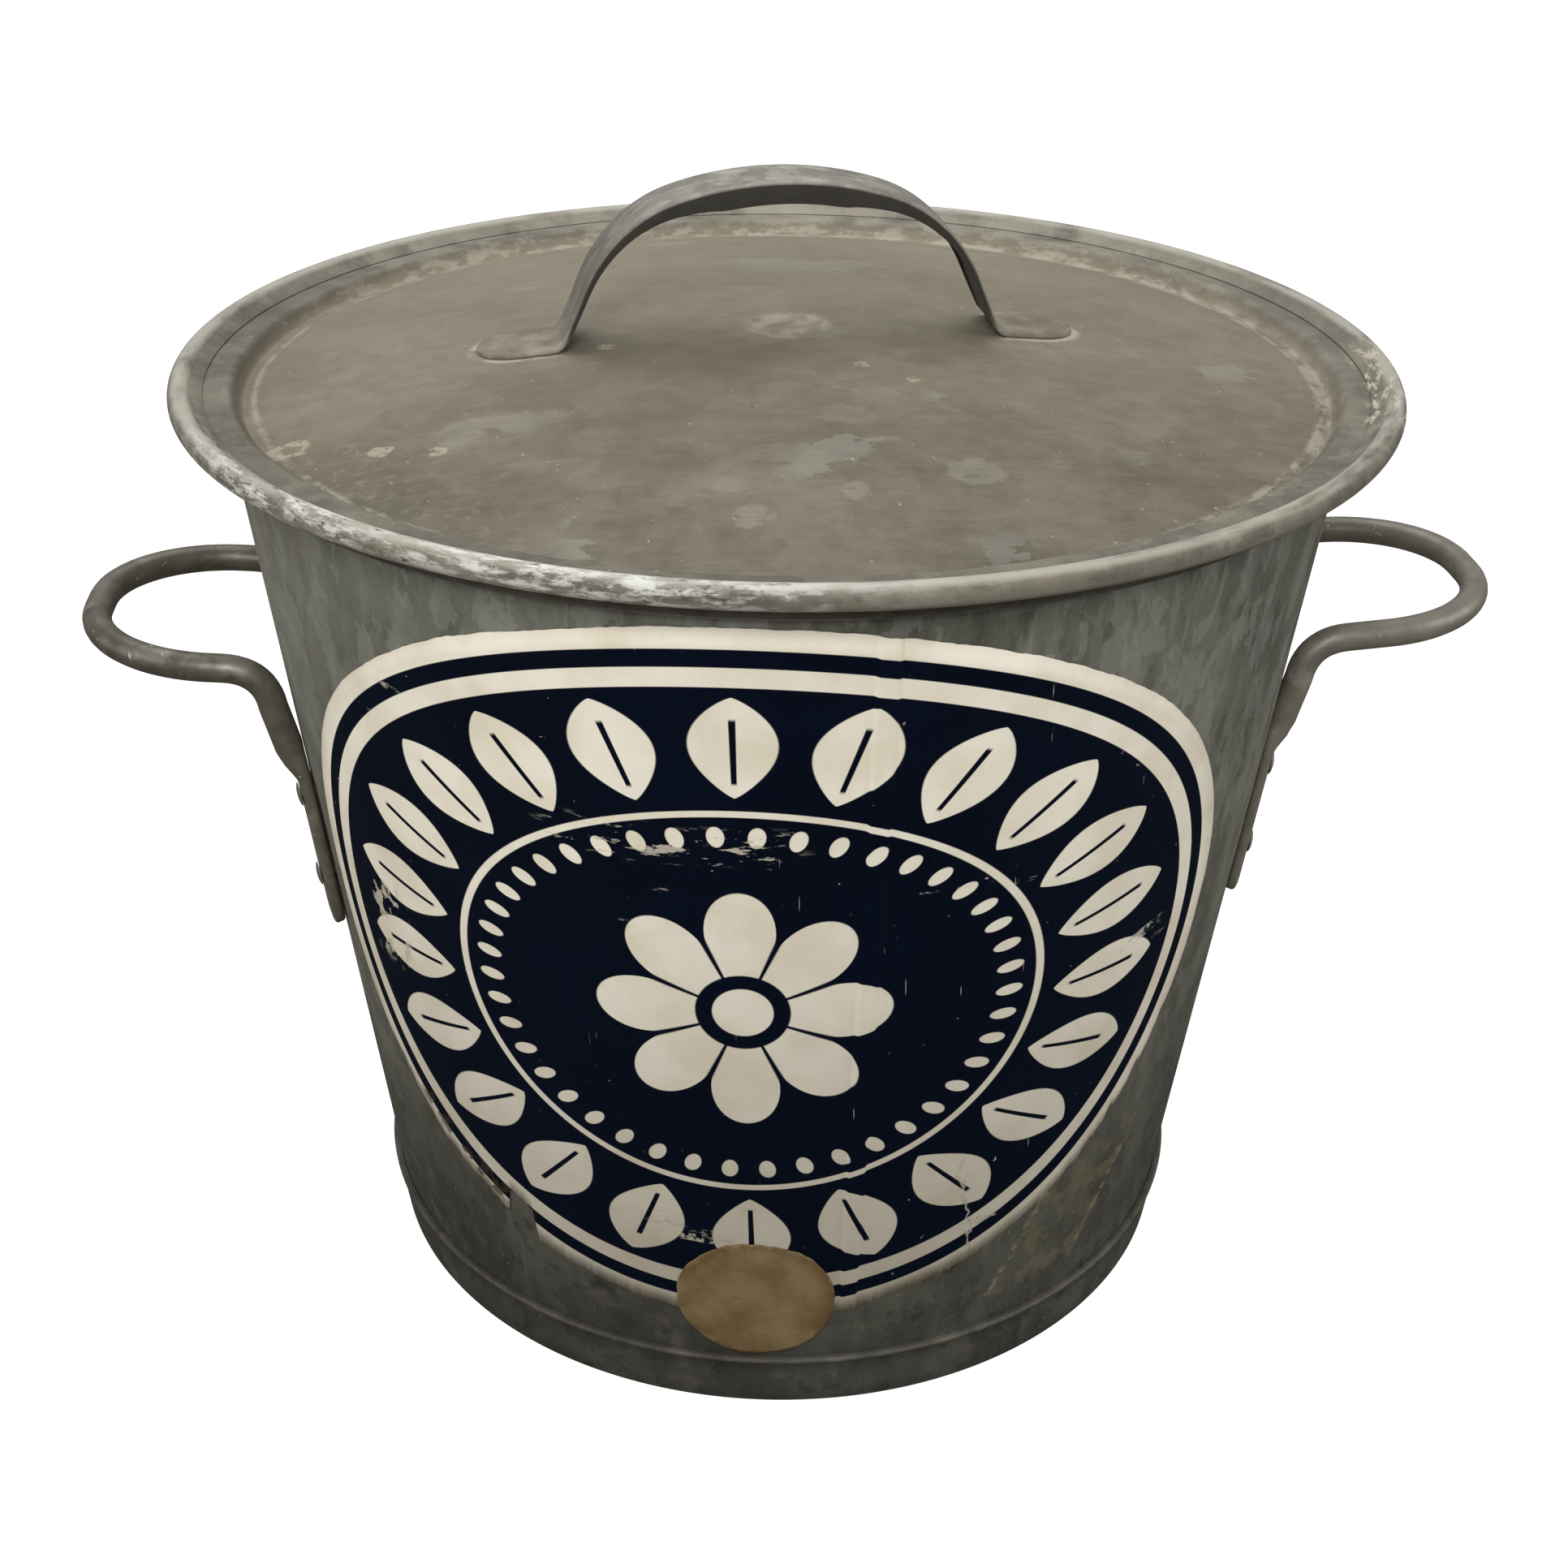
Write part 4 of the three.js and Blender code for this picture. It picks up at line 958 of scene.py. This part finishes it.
def tub_zinc():
    paint = Paint("zinc_tub")
    noise, coat, z, azimuth = paint.noise, paint.coat, paint.z, paint.azimuth
    paint.colour, value = zinc(paint, (74, 74, 66), (128, 129, 120), 19, 2, 0.2, (1, 1, 1.6))
    brushed = noise(5, 9, 4, (1, 1, 9)).rise(0.54, 0.70)
    brushed = brushed * noise(60, 4, 3, (1, 1, 1.6)).rise(0.45, 0.62)
    coat(brushed * 0.42, 150, 152, 146)
    upper = z.rise(190, 345) * noise(15, 14, 4, (1, 1, 4)).rise(0.48, 0.72)
    coat(upper * 0.38, 152, 152, 144)
    away = abs(abs(azimuth) - 88)
    flank = away.rise(22, 10) * noise(9, 15, 4, (1, 1, 5)).rise(0.42, 0.62)
    coat(flank * z.rise(150, 300) * 0.55, 168, 158, 146)
    lit = azimuth.rise(-20, -70) * z.rise(200, 320)
    coat(lit * 0.3, 158, 158, 148)
    flakes = paint.crystals(11, (0.7, 0.7, 1.5), 16).rise(0.66, 0.74) * z.rise(120, 300)
    coat(flakes * 0.26, 160, 163, 158)
    # Soot and painted shade: the wall darkens towards its foot, and more so on the lower left.
    left = azimuth.rise(20, -60) * 0.16
    soot_and_shade = z.rise(190, 6) * (noise(60, 21, 4, (1, 1, 0.6)) * 0.7 + 0.42 + left)
    coat(soot_and_shade * 0.80, 34, 30, 22)
    splash = noise(16, 31, 6, (1, 1, 0.8)).rise(0.55, 0.68) * z.rise(140, 30)
    coat(splash * 0.26, 112, 110, 100)
    pits = noise(11, 37, 6).rise(0.58, 0.7) * z.rise(120, 50)
    coat(pits * 0.5, 28, 25, 19)
    across = azimuth - 35.5 - (z - 68) * 0.16
    patch = abs(across).rise(8.2, 7.4) * abs(z - 66).rise(30, 28)
    residue = patch * noise(9, 44, 6).rise(0.44, 0.6)
    coat(residue * 0.6, 112, 106, 84)
    frayed = patch * (1.0 - abs(across).rise(7.2, 6.2)) * noise(3, 45).rise(0.45, 0.6)
    coat(frayed * 0.7, 140, 134, 112)
    specks = noise(2.6, 50, 2).rise(0.72, 0.76)
    coat(specks * 0.5, 176, 174, 164)
    lip = z.near(23.2, 1.3) * (paint.r - 163.5).rise(-1.0, 0.4) * noise(18, 8).rise(0.35, 0.6)
    coat(lip * 0.2, 130, 126, 112)
    rolled = z.rise(340, 343)
    coat(rolled * 0.7, 46, 40, 32)
    rough = 0.60 - value * 0.12 + soot_and_shade * 0.25
    relief = noise(38, 70, 2, (1, 1, 2)) * 1.6 + noise(2.2, 71) * 0.10
    relief = relief + noise(12, 74, 3, (1, 1, 2)) * 0.25
    return paint.finish(rough, 0.25, relief, 0.6)


def lid_zinc():
    paint = Paint("zinc_lid")
    noise, coat, r, z, azimuth = paint.noise, paint.coat, paint.r, paint.z, paint.azimuth
    paint.colour, value = zinc(paint, (86, 80, 68), (122, 115, 100), 15, 6, 0.10)
    brushed = noise(2.0, 47, 3, (14, 1.0, 1)).rise(0.50, 0.72)
    coat(brushed * 0.16, 146, 140, 124)
    stain = noise(70, 12, 5, (1, 0.7, 1)).rise(0.45, 0.75)
    coat(stain * 0.4, 90, 84, 70)
    fine = noise(5, 13, 5, (1.6, 1, 1)).rise(0.50, 0.75)
    coat(fine * 0.35, 84, 78, 66)
    # Painted light: the lid is made lighter towards the back.
    painted_back_light = paint.y.rise(-190, 170) * 0.55
    coat(painted_back_light, 146, 138, 121)
    # Painted shade: the lid is made darker towards the front.
    coat(paint.y.rise(-70, -190) * 0.3, 82, 79, 70)
    flowers = paint.crystals(16, (1.3, 0.8, 1), 18).rise(0.60, 0.75)
    flowers = flowers * noise(60, 19, 2).rise(0.55, 0.68)
    coat(flowers * 0.30, 150, 150, 142)
    side = azimuth.rise(-10, 60)
    rim_tone, _ = zinc(paint, (88, 84, 74), (132, 127, 115), 12, 15, 0.2)
    paint.colour = paint.blend(r.rise(196, 199), paint.colour, rim_tone)
    behind = abs(azimuth).rise(95, 150)
    ashen = behind * r.rise(197, 201) * noise(16, 25, 5).rise(0.30, 0.60)
    coat(ashen * 0.4, 166, 162, 150)
    dusty = azimuth.rise(40, 90) * (1.0 - behind) * r.rise(197, 201)
    coat(dusty * 0.2, 150, 144, 132)
    shaded = (1.0 - side) * r.near(197.5, 3.0) * (1.0 - behind)
    coat(shaded * 0.6, 66, 61, 51)
    # Painted shade, in a brown tone, darkens the ring on its left.
    brown = (1.0 - side) * r.rise(198, 202) * r.rise(212, 209) * (1.0 - behind * 0.7)
    coat(brown * 0.34, 82, 76, 65)
    along_rim = paint.join(azimuth * 3.7, r, z)

    def rim_noise(size, seed, detail, long, rough=0.55):
        return noise(size, seed, detail, (long, 1, 1), along_rim, rough)

    ragged = rim_noise(6, 24, 6, 2.6, 0.7)
    oxide = r.near(193.5, 4.5) * ragged.rise(0.40, 0.56) * side
    oxide = oxide + r.near(191.0, 2.2) * ragged.rise(0.42, 0.58) * 0.8
    oxide = oxide + r.near(195.5, 5.0) * ragged.rise(0.46, 0.58) * behind
    coat(oxide.capped() * 0.55, 178, 174, 161)
    crest = z.rise(356.8, 358.6) * r.rise(207, 210)
    crest = crest * rim_noise(6, 32, 5, 5).rise(0.28, 0.56)
    coat(crest * 0.6, 184, 182, 172)
    # Painted light: the underside of the rolled edge is lightened, as if lit from the floor.
    under = r.rise(213, 215) * z.rise(355.5, 352.0)
    coat(under * 0.45, 152, 147, 136)
    # A white crust and a painted highlight along the rolled edge at the front left.
    front_left = abs(azimuth + 34).rise(46, 16) * r.rise(208, 213)
    crust_and_highlight = front_left * rim_noise(3.8, 33, 6, 3.4, 0.72).rise(0.44, 0.60)
    crust_and_highlight = crust_and_highlight * (rim_noise(24, 38, 3, 1.5).rise(0.30, 0.52) * 0.5 + 0.5)
    coat(crust_and_highlight * 0.8, 215, 216, 214)
    pitted = front_left * rim_noise(1.8, 34, 4, 2.4).rise(0.60, 0.66)
    coat(pitted * 0.7, 58, 53, 45)
    chipped = abs(azimuth - 77).rise(15, 8) * r.rise(205.5, 208)
    chipped = chipped * rim_noise(3.0, 35, 5, 3, 0.7).rise(0.53, 0.58)
    coat(chipped * 0.7, 196, 190, 176)
    marks = paint.blot(-172, -74, 7.0, 51) * (1.0 - paint.blot(-172, -74, 3.6, 52))
    for x, y, radius in ((22, -43, 3.0), (38, -57, 2.4), (-141, -87, 4.2), (-122, -93, 3.2),
                         (-66, -15, 3.4)):
        marks = marks + paint.blot(x, y, radius, 53)
    worn_away = noise(2.2, 59).rise(0.36, 0.50)
    coat(marks.capped() * worn_away * 0.55, 176, 168, 149)
    frosted = abs(azimuth + 50).rise(24, 10) * r.near(180, 26)
    frosted = frosted * noise(4.5, 60, 6, rough=0.7).rise(0.52, 0.62)
    coat(frosted * 0.2, 156, 154, 142)
    patches = paint.blot(48, -128, 9.0, 54) + paint.blot(-24, -154, 7.0, 55)
    patches = patches + paint.blot(8, -140, 5.0, 56)
    patches = patches.capped() * noise(5, 61, 5, (1.6, 0.8, 1)).rise(0.34, 0.5)
    coat(patches * 0.26, 154, 152, 141)
    dimple = r.rise(17.5, 14.0) * noise(7, 57, 5).rise(0.36, 0.6)
    coat(dimple * 0.45, 172, 166, 150)
    along = paint.x * cos(GRIP_TURN) + paint.y * sin(GRIP_TURN)
    along = abs(along + GRIP_SHIFT) * 0.96  # undoes the stretch of the strip
    across = paint.y * cos(GRIP_TURN) - paint.x * sin(GRIP_TURN)
    past = (along - (tab_start + TAB - HALF)).math("MAXIMUM", 0.0)
    edge = (past * past + across * across).root() - HALF
    solder = edge.near(0.9, 3.2) * along.rise(grip_foot - 2, grip_foot + 4)
    solder = solder * noise(14, 58).rise(0.36, 0.55)
    coat(solder * 0.7, 182, 176, 160)
    specks = noise(3.2, 40, 3).rise(0.70, 0.74)
    coat(specks * 0.5, 178, 171, 152)
    rough = 0.66 - value * 0.08 + stain * 0.08
    relief = noise(60, 72, 2) * 2.0 + noise(2.4, 73) * 0.10
    return paint.finish(rough, 0.15, relief, 0.5, 0.35)


def grip_zinc():
    """The strip is pale on top; grime and painted shade darken its turned-down edges and
    underside.
    """
    paint = Paint("zinc_grip")
    paint.colour, _ = zinc(paint, (104, 103, 96), (148, 146, 137), 10, 62, 0.25)
    scuffed = paint.noise(7, 63, 5, (2.2, 1, 1)).rise(0.52, 0.66)
    paint.coat(scuffed * 0.4, 188, 184, 172)
    tab = abs(paint.x + GRIP_SHIFT).rise(grip_foot - 2, grip_foot + 8)
    mottled = paint.noise(9, 66, 5).rise(0.35, 0.7)
    dull = paint.blend(mottled, tone(104, 97, 84), tone(138, 131, 116))
    paint.colour = paint.blend(tab, paint.colour, dull)
    upward = paint.split(paint.node("NewGeometry").outputs["True Normal"])[2]
    # Painted shade: the steeper a face of the strip, the darker it is.
    painted_steep_shade = (1.0 - upward.rise(0.45, 0.90)) * (1.0 - tab)
    paint.coat(painted_steep_shade * 0.6, 84, 80, 71)
    # Faces turned sideways and down are dark: partly grime, partly painted shade.
    grime = (1.0 - upward.rise(0.10, 0.30)) * (1.0 - tab)
    paint.coat(grime * 0.92, 32, 29, 24)
    relief = paint.noise(14, 64, 3) * 0.6 + paint.noise(2.0, 65) * 0.10
    return paint.finish(0.58, 0.2, relief, 0.5)


def inner_zinc():
    paint = Paint("zinc_inner")
    paint.colour, value = zinc(paint, (110, 112, 107), (156, 158, 152), 11, 26, 0.3)
    lime = paint.noise(20, 28, 5, (1, 1, 2)).rise(0.5, 0.7)
    paint.coat(lime * 0.5, 186, 184, 172)
    relief = paint.noise(3, 75) * 0.12
    return paint.finish(0.58 - value * 0.15, 0.45, relief, 0.5)


dress([tub_wall, hoop], tub_zinc())
dress([lid], lid_zinc())
dress([bottom, cone, tube] + pierced + feet, inner_zinc())
dress([grip], grip_zinc())
print("zinc on", tub_wall.name, lid.name, bottom.name)

# %% [markdown]
# ## Handled steel
# The bars have lost most of their zinc to hands and soot. They are brown grey with pale worn
# patches and a few white specks. Painted light makes the right handle lighter and painted
# shade the left one darker. The wires in the rolled edges are plain iron.

# %% Bar and wire finishes
def bar_finish():
    paint = Paint("bar_worn")
    paint.colour, value = zinc(paint, (74, 70, 62), (122, 117, 107), 8, 41, 0.15)
    rust = paint.noise(14, 43, 5).rise(0.52, 0.72)
    paint.coat(rust * 0.4, 80, 68, 56)
    pale = paint.noise(22, 48, 5).rise(0.56, 0.68)
    # Painted light: the right handle is made lighter.
    right = paint.x.rise(140, 175)
    paint.coat(pale * 0.4 + right * 0.3, 164, 161, 151)
    # Painted shade: the left handle is made darker.
    paint.coat(paint.x.rise(-140, -175) * 0.22, 66, 61, 52)
    specks = paint.noise(2.8, 46, 3).rise(0.68, 0.72)
    paint.coat(specks * 0.75, 196, 192, 180)
    relief = paint.noise(9, 76, 3) * 0.5 + paint.noise(1.8, 77) * 0.12
    return paint.finish(0.50 - value * 0.1, 0.35, relief, 0.6)


def wire_finish():
    paint = Paint("wire_iron")
    rust = paint.noise(6, 61)
    paint.colour = paint.blend(rust.rise(0.4, 0.65), tone(62, 58, 54), tone(96, 66, 46))
    return paint.finish(0.6, 0.5, rust, 0.2)


dress(handles + rivets, bar_finish())
dress([frame["nodes"][node] for node in ("rim_wire", "lid_rim_wire")], wire_finish())
print("bar finish on", len(handles) + len(rivets), "pieces")

# %% [markdown]
# ## The printed label
# The drawing is made from the flat distances on the paper. Bands follow the edge of the
# oval. Inside, a ring of leaves and a small rosette fill the navy field: a plain printer's
# ornament with no words. Wear is laid over the print: flecks, rubs, creases and stains.

# %% Label and sticker finishes
def label_print():
    paint = Paint("print_label", drawing=True)
    noise, coat = paint.noise, paint.coat
    u, v = paint.u, paint.v
    a, b = LABEL_WIDE, LABEL_HIGH
    q = ((u / a) * (u / a) + (v / b) * (v / b)).root()
    slope = ((u / a ** 2) * (u / a ** 2) + (v / b ** 2) * (v / b ** 2)).root()
    inset = (1.0 - q) * q / slope.math("MAXIMUM", 1e-5)
    border = inset.rise(8.0, 7.6) + inset.rise(13.9, 14.3) * inset.rise(21.2, 20.8)
    angle = (v / b).math("ARCTAN2", u / a) * (1 / (2 * pi))

    def ring_of_leaves(count, inner, outer, wide, shift):
        """Leaves set round the oval, each with a fine slit for its vein."""
        across = abs((angle * count + shift).math("FRACT")) - 0.5
        along = ((q - inner) / (outer - inner)).capped().math("MAXIMUM", 0.0)
        width = (along * pi).math("SINE").math("MAXIMUM", 0.0).math("POWER", 0.75) * wide
        leaf = (width - abs(across)).rise(0.0, 0.02)
        vein = abs(across).rise(0.022, 0.032)
        middle = along.rise(0.12, 0.16) * along.rise(0.8, 0.76)
        return leaf * (1.0 - (1.0 - vein) * middle)

    leaves = ring_of_leaves(22, 0.585, 0.835, 0.37, 100.0)
    line = q.near(0.545, 0.012).rise(0.1, 0.4)
    dot_across = ((angle * 44 + 100.0).math("FRACT") - 0.5) * 3.2
    dot_along = (q - 0.485) * 26
    dots = (dot_across * dot_across + dot_along * dot_along).rise(0.55, 0.42)
    rho = (u * u + v * v).root()
    turn = v.math("ARCTAN2", u)
    petal = abs((turn * 4.0).math("COSINE")).math("POWER", 0.55) * 26 + 24
    rosette = (petal - rho).rise(0.0, 0.7) * (turn * 8.0).math("COSINE").rise(-0.99, -0.93)
    rosette = rosette * rho.rise(15.5, 16.2) + rho.rise(10.4, 9.8)
    print_cream = (border + leaves + line + dots + rosette).capped()

    ragged = noise(3.0, 5)
    flecks = noise(4.2, 7, 5, rough=0.7).rise(0.70, 0.72)
    rubs = noise(26, 9, 5, (2.4, 0.7, 1), rough=0.62).rise(0.66, 0.70)
    scratch = noise(5.0, 12, 3, (0.35, 9, 1)).rise(0.74, 0.76)
    lost = (flecks + rubs * 0.9 * ragged.rise(0.42, 0.5) + scratch).capped()
    navy = paint.blend(noise(40, 2, 3), tone(2, 6, 20), tone(5, 16, 33))
    cream = paint.blend(noise(30, 3).rise(0.35, 0.7),
                        tone(242, 237, 224), tone(229, 221, 203))
    paint.colour = paint.blend(print_cream, navy, cream)
    rubbed = abs(v - 67).rise(9, 3) * abs(u + 22).rise(48, 30)
    rubbed = rubbed * noise(5.0, 21, 5, (2.6, 0.7, 1), rough=0.7).rise(0.56, 0.60)
    bare_left = abs(u + 144).rise(14, 7) * abs(v + 10).rise(22, 12)
    bare_left = bare_left * noise(7.0, 22, 5, (0.8, 1.3, 1)).rise(0.52, 0.56)
    wander = noise(9.0, 23) * 14
    crack = (u - 68 + v * 0.10 + wander - 7).near(0.0, 0.8) * abs(v + 104).rise(28, 22)
    lost = (lost + rubbed + bare_left + crack * 0.8).capped()
    coat(lost * 0.85, 196, 190, 176)
    frayed = abs(u + 124).rise(44, 30) * abs(v + 112).rise(34, 20) * inset.rise(15.0, 13.0)
    frayed = frayed * noise(6.0, 26, 5).rise(0.50, 0.56) * inset.rise(4.0, 6.0)
    coat(frayed * 0.8, 52, 46, 36)
    grime = noise(24, 17, 5, (1, 1.6, 1)).rise(0.5, 0.8)
    edge_grime = inset.rise(7.0, 0.0)
    coat((grime * 0.12 + edge_grime * 0.16).capped() * print_cream, 128, 112, 86)
    shade = (v - u * 0.10).rise(90, -190) * 0.62 * u.rise(260, 60)
    coat(shade * print_cream, 92, 82, 64)
    relief = noise(34, 80, 3, (0.8, 1.6, 1)) * 1.0 + ragged * 0.08
    return paint.finish(0.62 + ragged * 0.2, 0.0, relief, 0.4, 0.06)


def sticker_paper():
    paint = Paint("paper_tan", drawing=True)
    cloudy = paint.noise(16, 6, 5)
    paint.colour = paint.blend(cloudy.rise(0.35, 0.7), tone(132, 114, 83), tone(110, 92, 64))
    rho = (paint.u * paint.u + paint.v * paint.v).root()
    stain = rho.rise(22, 29) * paint.noise(9, 8, 5).rise(0.45, 0.62)
    paint.coat(stain * 0.7, 92, 66, 34)
    mould = paint.noise(4.0, 13, 5, (1.6, 1, 1)).rise(0.60, 0.68)
    mould = mould * paint.noise(18, 14, 2).rise(0.5, 0.6)
    paint.coat(mould * 0.5, 84, 76, 50)
    relief = paint.noise(8, 82) * 0.5
    return paint.finish(0.8, 0.0, relief, 0.5, 0.2)


dress([label], label_print())
dress([sticker], sticker_paper())
print("label and sticker printed")
